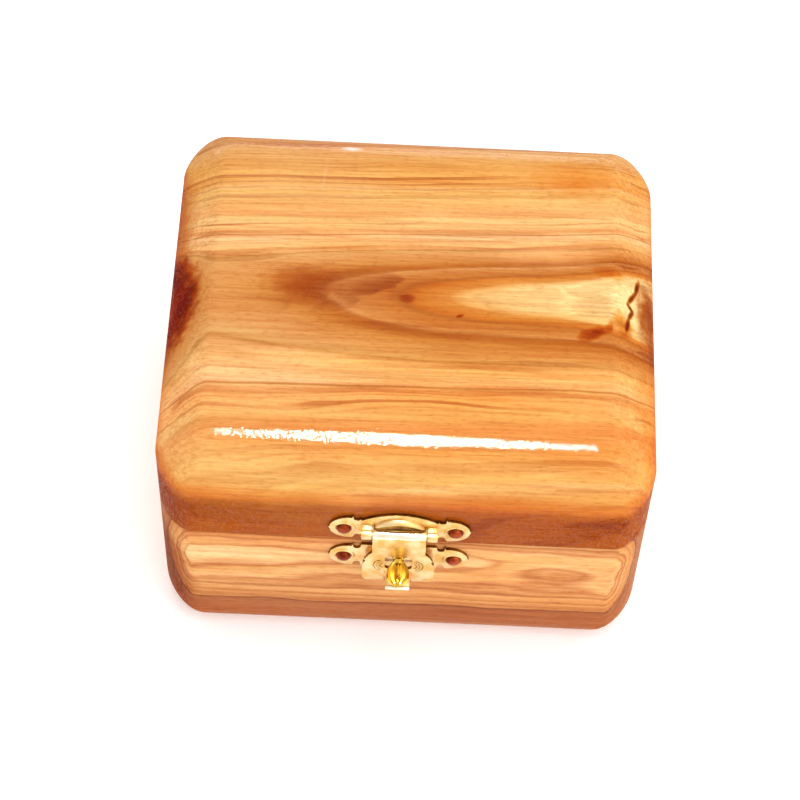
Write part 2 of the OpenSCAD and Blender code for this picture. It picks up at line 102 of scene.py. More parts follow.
def linear(code: str) -> tuple[float, float, float, float]:
    """Turns an sRGB colour into the linear one that shaders use.

    Args:
        code: six hexadecimal digits, red first.

    Returns:
        Red, green, blue and an alpha of one.
    """
    parts = [int(code[i:i + 2], 16) / 255 for i in (0, 2, 4)]
    made = [c / 12.92 if c <= 0.04045 else ((c + 0.055) / 1.055) ** 2.4 for c in parts]
    return made[0], made[1], made[2], 1.0


def add_node(
    tree: bpy.types.NodeTree,
    kind: str,
    settings: dict | None = None,
    links: dict | None = None,
    stops: list[Stop] | None = None,
    out: str | None = None,
) -> Socket:
    """Adds a shader node with its settings and links.

    Args:
        tree: the material's node tree.
        kind: the node's type, without its usual first words, and after a space its operation.
        settings: values by attribute name, or by input name or number.
        links: the output sockets that feed this node, by input name or number.
        stops: places and colours of a colour ramp.
        out: the output wanted, or the first one in use.

    Returns:
        The node's output socket.
    """
    kind, _, operation = kind.partition(" ")
    node = tree.nodes.new("ShaderNode" + kind)
    if operation:
        node.operation = operation
    for key, value in (settings or {}).items():
        if isinstance(key, int) or key in node.inputs:
            node.inputs[key].default_value = value
        else:
            setattr(node, key, value)
    if stops:
        band = node.color_ramp
        while len(band.elements) < len(stops):
            band.elements.new(0.5)
        for element, (place, code) in zip(band.elements, stops):
            element.position = place
            element.color = linear(code)
    for key, source in (links or {}).items():
        tree.links.new(source, node.inputs[key])
    if out:
        return node.outputs[out]
    return next((o for o in node.outputs if o.enabled), None)


def new_material(name: str) -> tuple[Material, Adder]:
    """Makes an empty material.

    Args:
        name: what the surface is made of and how.

    Returns:
        The material, and a function that adds a node to its tree as add_node does.
    """
    made = bpy.data.materials.new(name)
    made.use_nodes = True
    made.node_tree.nodes.clear()
    return made, partial(add_node, made.node_tree)


def finish_material(add: Adder, settings: dict, links: dict) -> None:
    """Ends a material's tree with its shader and output.

    Args:
        add: adds a node to the material's tree.
        settings: constant sockets of the shader.
        links: sockets that feed the shader.
    """
    shader = add("BsdfPrincipled", settings, links)
    add("OutputMaterial", links={"Surface": shader})


def place_in_mm(add: Adder) -> Socket:
    """Gives a surface's place in the box's own frame, in millimetres."""
    place = add("TexCoord", out="Object")
    return add("VectorMath SCALE", {"Scale": 1 / MM}, {0: place})


def colour_along(add: Adder, value: Socket, stops: list[Stop], offset: float = 0.0) -> Socket:
    """Colours a surface by a distance or height.

    Args:
        add: adds a node to the material's tree.
        value: the distance in millimetres.
        stops: distances in millimetres, and the colour at each.
        offset: how far the value runs ahead of the stops, in millimetres.

    Returns:
        The colour.
    """
    start, end = stops[0][0], stops[-1][0]
    share = add("MapRange", {"From Min": start + offset, "From Max": end + offset}, {"Value": value})
    scaled = [((place - start) / (end - start), code) for place, code in stops]
    return add("ValToRGB", {}, {0: share}, stops=scaled)


def noise_along_grain(add: Adder, place: Socket, size: Pair) -> Socket:
    """Draws noise of a given width and length in millimetres, long along the grain."""
    width, length = size
    long = add("VectorMath DIVIDE", {1: (length, width, width)}, {0: place})
    return add("TexNoise", {"Scale": 0.6, "Detail": 2.0}, {"Vector": long})


@dataclass(frozen=True)
class Swell:
    """A place where the growth rings bulge round a branch.

    Args:
        centre: its middle in the box's frame, in millimetres.
        radii: its half sizes, in millimetres.
        push: how far it shifts the rings, in millimetres, outwards below zero.
    """

    centre: Point
    radii: Point
    push: float


@dataclass(frozen=True)
class Mark:
    """A knot, a crack, a scar, a patch of other wood, a painted highlight or painted shade.

    Args:
        centre: its middle in the box's frame, in millimetres.
        radii: its half sizes, in millimetres.
        turn: its turn about the vertical, in degrees.
        torn: how ragged its edge is, as a share of its size.
        tones: its tints, from its middle at 0 to its edge at 1.
        blend: whether the tints darken or lighten the wood.
    """

    centre: Point
    radii: Point
    turn: float
    torn: float
    tones: list[Stop]
    blend: Blend = Blend.DARKEN


@dataclass(frozen=True)
class Grain:
    """The growth rings and figure of one block.

    Args:
        pith: a point on the heart of the stem, in millimetres.
        lean: how far the heart turns towards the back along the block, in degrees.
        uneven: how much faster the rings grew towards the front than towards the back, as a share.
        face_z: height of the face that the figure was taken from.
        fan: how fast the rings open out below that face, at the left end and at the right end.
        slant: how far the rings lean back below that face, at the left end and at the right end.
        sway: how far the rings wander sideways, in millimetres.
        wander: how far the rings wander in and out, in millimetres.
        heart: colours by distance from the heart in millimetres, for the inner rings.
        outer: the same for the rings outside them.
        swells: the bulges in the rings.
        marks: the knots, cracks and patches, with the painted highlight and painted shade.
        layers: tints by height in millimetres, darker towards the bottom, partly painted shade.
        layer_edge: how uneven the layers' edges are, in millimetres.
    """

    pith: Point
    lean: float
    uneven: float
    face_z: float
    fan: Pair
    slant: Pair
    sway: float
    wander: float
    heart: list[Stop]
    outer: list[Stop]
    swells: list[Swell]
    marks: list[Mark]
    layers: list[Stop]
    layer_edge: float = 0.5


@dataclass(frozen=True)
class OliveWood:
    """Olive wood, milled and sanded, under a sprayed gloss varnish or left bare in the hollows.

    The eye gets golden wood with nested brown figures round the heart, fine lines along the grain,
    and a clear coat whose slight orange peel breaks up the light's reflection.

    Args:
        name: the material's name.
        grain: the block's growth rings.
        varnish: how the surface was left.
        ring_pitch: mean distance between growth rings, in millimetres.
        streaks: width and length of the coarse streaks and of the fibres, in millimetres. Real
            fibres are finer, and are drawn as coarse as they need to be to show.
        pore: width and length of the open pores, in millimetres, coarse for the same reason.
        patch: width and length of the warmer and paler patches, in millimetres.
        peel: size of the varnish's pebbles, in millimetres.
        peel_depth: their depth, in millimetres.
        wave: length of the sanding waves under the varnish, in millimetres.
        wave_depth: their depth, in millimetres.
        speck: size of the thin specks in the varnish, in millimetres.
        speck_range: noise levels at which the varnish is thinnest and full.
        film_weight: the coat's weight where it is thinnest and where it is full.
        thick_at: where along the box the varnish is thickest, in millimetres.
        rub: how far rubbing lowers the specks' noise level at the box's sides.
        rub_reach: where the rubbing starts and is full, in millimetres from thick_at.
        sway_waves: the rings' sideways waves in each millimetre, along the grain and across it.
        wander_waves: the same for their waves in and out.
        line_waves: the same for the fading of the ring lines.
        line_drift: how far the ring lines drift from the rings, in millimetres.
        torn_waves: waves of the marks' ragged edges in each millimetre.
        layer_waves: the same for the edges of the layers.
    """

    name: str
    grain: Grain
    varnish: Varnish
    ring_pitch: float = 0.9
    streaks: tuple[Pair, Pair] = ((0.45, 22.0), (0.17, 4.0))
    pore: Pair = (0.3, 0.9)
    patch: Pair = (9.0, 30.0)
    peel: float = 0.45
    peel_depth: float = 0.02
    wave: float = 5.0
    wave_depth: float = 0.05
    speck: float = 0.44
    speck_range: Pair = (0.37, 0.52)
    film_weight: Pair = (0.03, 0.3)
    thick_at: float = 3.0
    rub: float = 0.11
    rub_reach: Pair = (15.0, 37.0)
    sway_waves: Point = (0.035, 0.11, 0.11)
    wander_waves: Point = (0.05, 0.16, 0.16)
    line_waves: Point = (0.03, 0.16, 0.16)
    line_drift: float = 2.4
    torn_waves: float = 0.45
    layer_waves: float = 0.1

    def build(self) -> Material:
        """Makes the material."""
        made, add = new_material(self.name)
        place = place_in_mm(add)
        rings = self.rings(add, place)
        colour = self.band_colour(add, rings)
        colour = self.ring_lines(add, place, rings, colour)
        colour = self.streak_tints(add, place, colour)
        colour = self.height_tint_and_shade(add, place, colour)
        for mark in self.grain.marks:
            colour = self.mark_tint(add, place, mark, colour)
        fibres = self.relief(add, place)
        if self.varnish is Varnish.GLOSS:
            # All of the shine is the varnish's, so the wood under it has none of its own
            gloss = {"Roughness": 0.42, "Specular IOR Level": 0.0, "Coat Roughness": 0.04, "Coat IOR": 1.5}
            links = {"Base Color": colour, "Normal": fibres, "Coat Normal": self.orange_peel(add, place),
                     "Coat Weight": self.film(add, place)}
            finish_material(add, gloss, links)
        else:
            finish_material(add, {"Roughness": 0.66, "IOR": 1.5}, {"Base Color": colour, "Normal": fibres})
        return made

    def rings(self, add: Adder, place: Socket) -> Socket:
        """Works out each point's distance from the heart, along uneven rings that wander a little.

        Args:
            add: adds a node to the material's tree.
            place: the surface's place in millimetres.

        Returns:
            The distance in millimetres.
        """
        g = self.grain
        long = add("VectorMath MULTIPLY", {1: self.sway_waves}, {0: place})
        drift = add("TexNoise", {"Detail": 2.0, "Scale": 1.0}, {"Vector": long}, out="Color")
        swayed = {1: (0.0, 2 * g.sway, 0.0), 2: (-g.pith[0], -g.pith[1] - g.sway, 0.0)}
        shift = add("VectorMath MULTIPLY_ADD", swayed, {0: drift})
        from_pith = add("VectorMath ADD", {}, {0: place, 1: shift})
        leant = {"rotation_type": "Z_AXIS", "Angle": math.radians(-g.lean)}
        turned = add("VectorRotate", leant, {"Vector": from_pith})
        height = add("SeparateXYZ", {}, {0: place}, out="Z")
        below = add("Math SUBTRACT", {1: g.face_z}, {0: height})
        along = add("SeparateXYZ", {}, {0: place}, out="X")
        ends = {"From Min": -40.0, "From Max": 40.0}
        fan = add("MapRange", {**ends, "To Min": g.fan[0], "To Max": g.fan[1]}, {"Value": along})
        slant = add("MapRange", {**ends, "To Min": g.slant[0], "To Max": g.slant[1]}, {"Value": along})
        depth = add("Math MULTIPLY_ADD", {2: g.face_z - g.pith[2]}, {0: fan, 1: below})
        level = add("SeparateXYZ", {}, {0: turned}, out="Y")
        across = add("Math MULTIPLY_ADD", {}, {0: slant, 1: below, 2: level})
        flat = add("CombineXYZ", {}, {"X": across, "Y": depth})
        radius = add("VectorMath LENGTH", {}, {0: flat}, out="Value")
        total = add("Math MULTIPLY_ADD", {1: g.uneven}, {0: across, 2: radius})
        for swell in g.swells:
            near = self.reach(add, place, swell.centre, swell.radii, 0.0)
            squared = add("Math MULTIPLY", {}, {0: near, 1: near})
            bell = add("Math POWER", {0: math.exp(-0.6)}, {1: squared})
            total = add("Math MULTIPLY_ADD", {1: swell.push}, {0: bell, 2: total})
        wide = add("VectorMath MULTIPLY", {1: self.wander_waves}, {0: place})
        roam = add("TexNoise", {"Detail": 3.0, "Scale": 1.0}, {"Vector": wide})
        centred = add("Math MULTIPLY_ADD", {1: 2 * g.wander, 2: -g.wander}, {0: roam})
        return add("Math ADD", {}, {0: total, 1: centred})

    def reach(self, add: Adder, place: Socket, centre: Point, radii: Point, turn: float) -> Socket:
        """Measures how far a point is from the middle of an ellipsoid, in the ellipsoid's radii.

        Args:
            add: adds a node to the material's tree.
            place: the surface's place in millimetres.
            centre: the ellipsoid's middle.
            radii: its half sizes.
            turn: its turn about the vertical, in degrees.

        Returns:
            The distance, which is 1 on the ellipsoid.
        """
        about = {"rotation_type": "Z_AXIS", "Center": centre, "Angle": math.radians(-turn)}
        turned = add("VectorRotate", about, {"Vector": place})
        offset = add("VectorMath SUBTRACT", {1: centre}, {0: turned})
        shrunk = add("VectorMath DIVIDE", {1: radii}, {0: offset})
        return add("VectorMath LENGTH", {}, {0: shrunk}, out="Value")

    def band_colour(self, add: Adder, rings: Socket) -> Socket:
        """Colours the bands of the stem, from the heart outwards."""
        bands = []
        for stops in (self.grain.heart, self.grain.outer):
            bands.append(colour_along(add, rings, stops))
        outside = add("Math GREATER_THAN", {1: self.grain.outer[0][0]}, {0: rings})
        return add("Mix", RGBA, {0: outside, 6: bands[0], 7: bands[1]})

    def ring_lines(self, add: Adder, place: Socket, rings: Socket, colour: Socket) -> Socket:
        """Draws paler and darker growth rings, and thin brown lines that fade in and out along the grain.

        Args:
            add: adds a node to the material's tree.
            place: the surface's place in millimetres.
            rings: distance from the heart in millimetres.
            colour: the colour so far.

        Returns:
            The colour with its rings.
        """
        slow = add("VectorMath MULTIPLY", {1: self.line_waves}, {0: place})
        roam = add("TexNoise", {"Scale": 1.0, "Detail": 2.0}, {"Vector": slow})
        moved = add("Math MULTIPLY_ADD", {1: self.line_drift}, {0: roam, 2: rings})
        kinds = [
            (0.3, 2.0, 0.22, [(0.36, "d9a878"), (0.47, "f8e8d2"), (0.54, "ffffff")]),
            (0.7, 1.0, 0.26, [(0.39, "c48a54"), (0.44, "ffffff")]),
            (1.6, 1.0, 0.16, [(0.36, "c98f58"), (0.48, "ffffff")]),
        ]
        for scale, detail, share, stops in kinds:
            pitch = scale / self.ring_pitch
            one_way = {"noise_dimensions": "1D", "Detail": detail, "Roughness": 0.6, "Scale": pitch}
            ring = add("TexNoise", one_way, {"W": moved})
            shade = add("ValToRGB", {}, {0: ring}, stops=stops)
            come_and_go = {"From Min": 0.35, "From Max": 0.65, "To Max": 2 * share}
            fading = add("MapRange", come_and_go, {"Value": roam})
            colour = add("Mix", MULTIPLY, {0: fading, 6: colour, 7: shade})
        return colour

    def streak_tints(self, add: Adder, place: Socket, colour: Socket) -> Socket:
        """Adds streaks and fibres along the grain, pores, and patches of warmer and paler wood.

        Args:
            add: adds a node to the material's tree.
            place: the surface's place in millimetres.
            colour: the colour so far.

        Returns:
            The colour with its streaks.
        """
        kinds = [
            (self.streaks[0], 0.3, [(0.36, "dfb183"), (0.5, "fbf0e0"), (0.62, "ffffff")]),
            (self.streaks[1], 0.3, [(0.33, "d9ab7e"), (0.6, "ffffff")]),
            (self.pore, 0.35, [(0.3, "dcb48c"), (0.48, "ffffff")]),
            (self.patch, 0.5, [(0.3, "ffe2c6"), (0.44, "ffffff"), (0.56, "ffffff"), (0.7, "fbe3b8")]),
        ]
        for size, share, stops in kinds:
            noise = noise_along_grain(add, place, size)
            tint = add("ValToRGB", {}, {0: noise}, stops=stops)
            colour = add("Mix", {**MULTIPLY, 0: share}, {6: colour, 7: tint})
        return colour

    def height_tint_and_shade(self, add: Adder, place: Socket, colour: Socket) -> Socket:
        """Tints the block by height, darker towards the bottom: browner wood, and painted shade on the
        lid's walls and the base's foot.

        Args:
            add: adds a node to the material's tree.
            place: the surface's place in millimetres.
            colour: the colour so far.

        Returns:
            The colour with its layers.
        """
        edge = self.grain.layer_edge
        height = add("SeparateXYZ", {}, {0: place}, out="Z")
        rough = add("TexNoise", {"Scale": self.layer_waves, "Detail": 2.0}, {"Vector": place})
        uneven = add("Math MULTIPLY_ADD", {1: 2 * edge}, {0: rough, 2: height})
        tint = colour_along(add, uneven, self.grain.layers, edge)
        return add("Mix", {**MULTIPLY, 0: 1.0}, {6: colour, 7: tint})

    def mark_tint(self, add: Adder, place: Socket, mark: Mark, colour: Socket) -> Socket:
        """Darkens or lightens the wood in and round a mark.

        Args:
            add: adds a node to the material's tree.
            place: the surface's place in millimetres.
            mark: the knot, crack, scar, patch, painted highlight or painted shade.
            colour: the colour so far.

        Returns:
            The colour with the mark.
        """
        near = self.reach(add, place, mark.centre, mark.radii, mark.turn)
        torn = add("TexNoise", {"Scale": self.torn_waves, "Detail": 4.0}, {"Vector": place})
        ragged = add("Math MULTIPLY_ADD", {1: 2 * mark.torn, 2: -mark.torn}, {0: torn})
        edge = add("Math ADD", {}, {0: near, 1: ragged})
        tint = add("ValToRGB", {}, {0: edge}, stops=mark.tones)
        settings = {**RGBA, "blend_type": mark.blend.value, 0: 1.0}
        return add("Mix", settings, {6: colour, 7: tint})

    def relief(self, add: Adder, place: Socket) -> Socket:
        """Raises the fibres a little, more on bare wood than under varnish."""
        fibre = noise_along_grain(add, place, self.streaks[1])
        strength = 0.5 if self.varnish is Varnish.BARE else 0.15
        return add("Bump", {"Strength": strength, "Distance": 0.03 * MM}, {"Height": fibre})

    def orange_peel(self, add: Adder, place: Socket) -> Socket:
        """Gives the varnish its fine pebbled skin, over the slow waves of hand sanding."""
        slow = add("TexNoise", {"Scale": 1 / self.wave, "Detail": 1.0}, {"Vector": place})
        waved = add("Bump", {"Distance": self.wave_depth * MM}, {"Height": slow})
        peel = add("TexNoise", {"Scale": 1 / self.peel, "Detail": 0.0}, {"Vector": place})
        return add("Bump", {"Distance": self.peel_depth * MM}, {"Height": peel, "Normal": waved})

    def film(self, add: Adder, place: Socket) -> Socket:
        """Thins the varnish in fine specks, more of them towards the box's sides, where it was rubbed."""
        specks = add("TexNoise", {"Scale": 1 / self.speck, "Detail": 1.0}, {"Vector": place})
        along = add("SeparateXYZ", {}, {0: place}, out="X")
        off_middle = add("Math SUBTRACT", {1: self.thick_at}, {0: along})
        away = add("Math ABSOLUTE", {}, {0: off_middle})
        near, far = self.rub_reach
        rubbed = {"From Min": near, "From Max": far, "To Max": self.rub}
        thin = add("MapRange", rubbed, {"Value": away})
        whole = add("Math SUBTRACT", {}, {0: specks, 1: thin})
        (low, high), (thinnest, full) = self.speck_range, self.film_weight
        weight = {"From Min": low, "From Max": high, "To Min": thinnest, "To Max": full}
        return add("MapRange", weight, {"Value": whole})


@dataclass(frozen=True)
class PlatedSheet:
    """Steel or brass with a bright yellow plating, stamped or turned.

    The eye gets pale gold with soft reflections, a little cloudy where the stamping stretched the
    plating, and fine random scuffs.
    """

    name: str
    colour: str
    shade: str
    roughness: float
    wobble: float = 0.02
    cloud: float = 2.2
    dent: float = 0.9

    def build(self) -> Material:
        """Makes the material."""
        made, add = new_material(self.name)
        place = place_in_mm(add)
        cloudy = add("TexNoise", {"Scale": 1 / self.cloud, "Detail": 3.0}, {"Vector": place})
        share = add("MapRange", {"From Min": 0.38, "From Max": 0.62}, {"Value": cloudy})
        colour = add("Mix", {**RGBA, 6: linear(self.colour), 7: linear(self.shade)}, {0: share})
        dulled = {"From Min": 0.3, "From Max": 0.7, "To Min": self.roughness * 0.7,
                  "To Max": self.roughness * 1.4}
        rough = add("MapRange", dulled, {"Value": cloudy})
        fine = {"Scale": 1 / self.dent, "Detail": 4.0, "Roughness": 0.6}
        dents = add("TexNoise", fine, {"Vector": place})
        normal = add("Bump", {"Strength": 1.0, "Distance": self.wobble * MM}, {"Height": dents})
        links = {"Base Color": colour, "Roughness": rough, "Normal": normal}
        finish_material(add, {"Metallic": 1.0}, links)
        return made


@dataclass(frozen=True)
class PaperFloor:
    """Matt white background paper, which glows a little as if the light came through it."""

    name: str = "background paper, matt white"

    def build(self) -> Material:
        """Makes the material."""
        made, add = new_material(self.name)
        glow = {"Emission Color": linear("ffffff"), "Emission Strength": 0.12}
        finish_material(add, {"Base Color": linear("fbfafa"), "Roughness": 0.9, **glow}, {})
        return made


@dataclass(frozen=True)
class Sizes:
    """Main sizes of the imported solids, in millimetres.

    Args:
        half_w: half the box's width.
        half_d: half the wood's depth.
        seam: height of the seam.
        top: height of the lid's top.
        hasp_x: the hasp's middle.
        flap_axis: depth and height of the flap's hinge.
        knob_z: height of the knob's axis.
        hinge_axis_y: depth of the lid's hinge axis.
        hinge_x: distance of each hinge from the middle.
    """

    half_w: float
    half_d: float
    seam: float
    top: float
    hasp_x: float
    flap_axis: Pair
    knob_z: float
    hinge_axis_y: float
    hinge_x: float

    @classmethod
    def read(cls) -> "Sizes":
        """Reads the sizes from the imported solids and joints."""
        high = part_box("base_block")[1]
        joints = {j["name"]: j["pos_m"] for j in frame["joints"]}
        leaf_low, leaf_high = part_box("hinge_right_base_leaf")
        return cls(
            half_w=high.x / MM,
            half_d=high.y / MM,
            seam=high.z / MM,
            top=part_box("lid_block")[1].z / MM,
            hasp_x=joints["flap_hinge"][0] / MM,
            flap_axis=(joints["flap_hinge"][1] / MM, joints["flap_hinge"][2] / MM),
            knob_z=joints["knob_turn"][2] / MM,
            hinge_axis_y=joints["lid_hinge"][1] / MM,
            hinge_x=(leaf_low.x + leaf_high.x) / 2 / MM,
        )


def object_from(name: str, bm: Mesh, materials: list[Material],
                sharp: float = CRISP) -> bpy.types.Object:
    """Makes an object of a mesh drawn in millimetres.

    Args:
        name: the piece's name.
        bm: the mesh, which is used up.
        materials: its materials, in slot order.
        sharp: edges turning more than this many degrees stay crisp.

    Returns:
        The object, in the scene.
    """
    bmesh.ops.recalc_face_normals(bm, faces=bm.faces)
    bmesh.ops.scale(bm, vec=(MM, MM, MM), verts=bm.verts)
    mesh = bpy.data.meshes.new(name)
    bm.to_mesh(mesh)
    bm.free()
    for material in materials:
        mesh.materials.append(material)
    mesh.shade_smooth()
    mesh.set_sharp_from_angle(angle=math.radians(sharp))
    made = bpy.data.objects.new(name, mesh)
    bpy.context.scene.collection.objects.link(made)
    return made


def add_skin(bm: Mesh, rings: list[list[Point]], slots: list[int] | None = None) -> None:
    """Skins a closed solid over rings of equal length, with flat ends.

    Args:
        bm: the mesh to add to.
        rings: the rings, in order.
        slots: a material slot for each stretch between rings, and the last for the far end.
    """
    rows = [[bm.verts.new(p) for p in ring] for ring in rings]
    bm.faces.new(reversed(rows[0]))
    for k, (low, high) in enumerate(zip(rows, rows[1:])):
        for i, vert in enumerate(low):
            j = (i + 1) % len(low)
            face = bm.faces.new((vert, low[j], high[j], high[i]))
            face.material_index = slots[k] if slots else 0
    end = bm.faces.new(rows[-1])
    end.material_index = slots[-1] if slots else 0


def bevel_edges(bm: Mesh, width: float, turn: float, segments: int = 2) -> None:
    """Rounds every edge that turns by more than a given angle.

    Args:
        bm: the mesh, in millimetres.
        width: the rounding's width.
        turn: the least angle in degrees.
        segments: the number of facets across the rounding.
    """
    bm.normal_update()
    edges = [e for e in bm.edges if len(e.link_faces) == 2 and e.calc_face_angle(0) > math.radians(turn)]
    bmesh.ops.bevel(bm, geom=edges, offset=width, segments=segments, profile=0.5, affect="EDGES",
                    clamp_overlap=True)


def add_sheet(bm: Mesh, outline: Outline, holes: list[Outline], back: float, front: float) -> None:
    """Adds a flat stamped sheet that stands on the front of the box.

    Args:
        bm: the mesh to add to.
        outline: points across and up, in order.
        holes: closed outlines of the holes.
        back: depth of the sheet's back face.
        front: depth of its front face.
    """
    part = bmesh.new()
    for loop in (outline, *holes):
        verts = [part.verts.new((x, back, z)) for x, z in loop]
        for a, b in zip(verts, verts[1:] + verts[:1]):
            part.edges.new((a, b))
    bmesh.ops.triangle_fill(part, use_beauty=True, use_dissolve=False, edges=part.edges[:])
    kept = part.faces[:]
    made = bmesh.ops.extrude_face_region(part, geom=kept, use_keep_orig=True)
    moved = [v for v in made["geom"] if isinstance(v, bmesh.types.BMVert)]
    bmesh.ops.translate(part, vec=(0, front - back, 0), verts=moved)
    bmesh.ops.recalc_face_normals(part, faces=part.faces)
    for face in part.faces:
        # Edge faces take the dark finish: tarnish, and painted shade that outlines the sheet
        face.material_index = 0 if abs(face.normal.y) > 0.5 else 1
    bevel_edges(part, 0.07, FOLD)
    append(bm, part)


def append(bm: Mesh, part: Mesh) -> None:
    """Adds one mesh to another, and frees it."""
    held = bpy.data.meshes.new("held")
    part.to_mesh(held)
    part.free()
    bm.from_mesh(held)
    bpy.data.meshes.remove(held)


def add_bar(bm: Mesh, profile: Outline, x0: float, x1: float, edge: float = 0.06,
            slot: int = 0) -> None:
    """Adds a bar of one section along X.

    Args:
        bm: the mesh to add to.
        profile: the section's points, depth and height, in order.
        x0: where it starts.
        x1: where it ends.
        edge: the rounding of its end edges.
        slot: its material slot.
    """
    part = bmesh.new()
    add_skin(part, [[(x, y, z) for y, z in profile] for x in (x0, x1)], [slot, slot])
    bmesh.ops.recalc_face_normals(part, faces=part.faces)
    bevel_edges(part, edge, FOLD)
    append(bm, part)


def add_lathe(bm: Mesh, profile: Outline, turn: Matrix, steps: int = 32) -> None:
    """Adds a turned shape.

    Args:
        bm: the mesh to add to.
        profile: radius and place along the axis, from one end to the other; ends on the axis are closed.
        turn: places the shape, whose own axis is Z.
        steps: the number of points round it.
    """
    part = bmesh.new()
    rings = []
    for radius, place in profile:
        if radius < 1e-6:
            rings.append([part.verts.new((0, 0, place))])
            continue
        angles = [2 * math.pi * k / steps for k in range(steps)]
        rings.append([part.verts.new((radius * math.cos(a), radius * math.sin(a), place)) for a in angles])
    for low, high in zip(rings, rings[1:]):
        for i in range(steps):
            j = (i + 1) % steps
            corners = [low[i % len(low)], low[j % len(low)], high[j % len(high)], high[i % len(high)]]
            unique = list(dict.fromkeys(corners))
            if len(unique) > 2:
                part.faces.new(unique)
    bmesh.ops.recalc_face_normals(part, faces=part.faces)
    bmesh.ops.transform(part, matrix=turn, verts=part.verts)
    append(bm, part)


def add_bead(bm: Mesh, points: list[Point], radius: float) -> None:
    """Adds a fine raised line on the front of a sheet.

    Args:
        bm: the mesh to add to.
        points: the line's middle, in order.
        radius: half its width.
    """
    part = bmesh.new()
    rings = []
    for k, (x, y, z) in enumerate(points):
        ahead, behind = points[min(k + 1, len(points) - 1)], points[max(k - 1, 0)]
        side = Vector((ahead[2] - behind[2], 0, behind[0] - ahead[0])).normalized() * radius
        ring = [(x + side.x * math.cos(a), y - radius * math.sin(a), z + side.z * math.cos(a))
                for a in (math.pi * 2 * i / 8 for i in range(8))]
        rings.append(ring)
    # The bead takes the dark finish: painted shade that makes the stamped line show
    add_skin(part, rings, [1] * len(rings))
    bmesh.ops.recalc_face_normals(part, faces=part.faces)
    append(bm, part)


def arc(centre: Pair, radius: float, start: float, end: float, steps: int) -> Outline:
    """Points along an arc, both ends included.

    Args:
        centre: its centre.
        radius: its radius.
        start: the first angle in degrees.
        end: the last angle in degrees.
        steps: the number of stretches.

    Returns:
        The points in order.
    """
    angles = [math.radians(start + (end - start) * k / steps) for k in range(steps + 1)]
    return [(centre[0] + radius * math.cos(a), centre[1] + radius * math.sin(a)) for a in angles]


def mirrored(points: Outline, about: float) -> Outline:
    """The same points on the other side of a line at x = about, in reverse order."""
    return [(2 * about - x, z) for x, z in reversed(points)]


def settle(piece: bpy.types.Object, body: Body, node: str) -> None:
    """Hands a finished piece to the frame.

    Args:
        piece: the piece.
        body: the body that it rides on.
        node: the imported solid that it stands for.
    """
    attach(piece, body.value)
    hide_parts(node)
    LOG.info("%s rides on %s: %d faces", piece.name, body.value, len(piece.data.polygons))


def hand_in(name: str, bm: Mesh, materials: list[Material], body: Body, node: str) -> None:
    """Makes a piece of a mesh and hands it to the frame.

    Args:
        name: the piece's name.
        bm: the mesh, in millimetres, which is used up.
        materials: its materials, in slot order.
        body: the body that it rides on.
        node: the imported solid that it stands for.
    """
    settle(object_from(name, bm, materials), body, node)


def rounded(half_w: float, low: float, high: float, radius: float, steps: int) -> Outline:
    """Outlines a rectangle with round corners, from its right side round by its top.

    Args:
        half_w: half its width.
        low: height of its lower edge.
        high: height of its upper edge.
        radius: its corners' radius.
        steps: the stretches in each corner.

    Returns:
        Its points in order.
    """
    right, top, bottom = half_w - radius, high - radius, low + radius
    corners = ((right, top), (-right, top), (-right, bottom), (right, bottom))
    return [p for k, centre in enumerate(corners) for p in arc(centre, radius, 90 * k, 90 * k + 90, steps)]


def dome(radius: float, height: float, steps: int, base: float = 0.0) -> Outline:
    """Profile of a domed head, radius and place along the axis, from its rim to its closed top."""
    angles = [math.pi / 2 * k / steps for k in range(steps)]
    rim_up = [(radius * math.cos(a), base + height * math.sin(a)) for a in angles]
    return rim_up + [(0, base + height)]


def out_of_front(x: float, z: float, y: float) -> Matrix:
    """Places a turned shape so that its axis comes out of the front at x, z, from depth y."""
    return Matrix.Translation((x, y, z)) @ Matrix.Rotation(math.radians(90), 4, "X")


def along_x(x: float, y: float, z: float) -> Matrix:
    """Places a turned shape so that its axis runs along X."""
    return Matrix.Translation((x, y, z)) @ Matrix.Rotation(math.radians(90), 4, "Y")


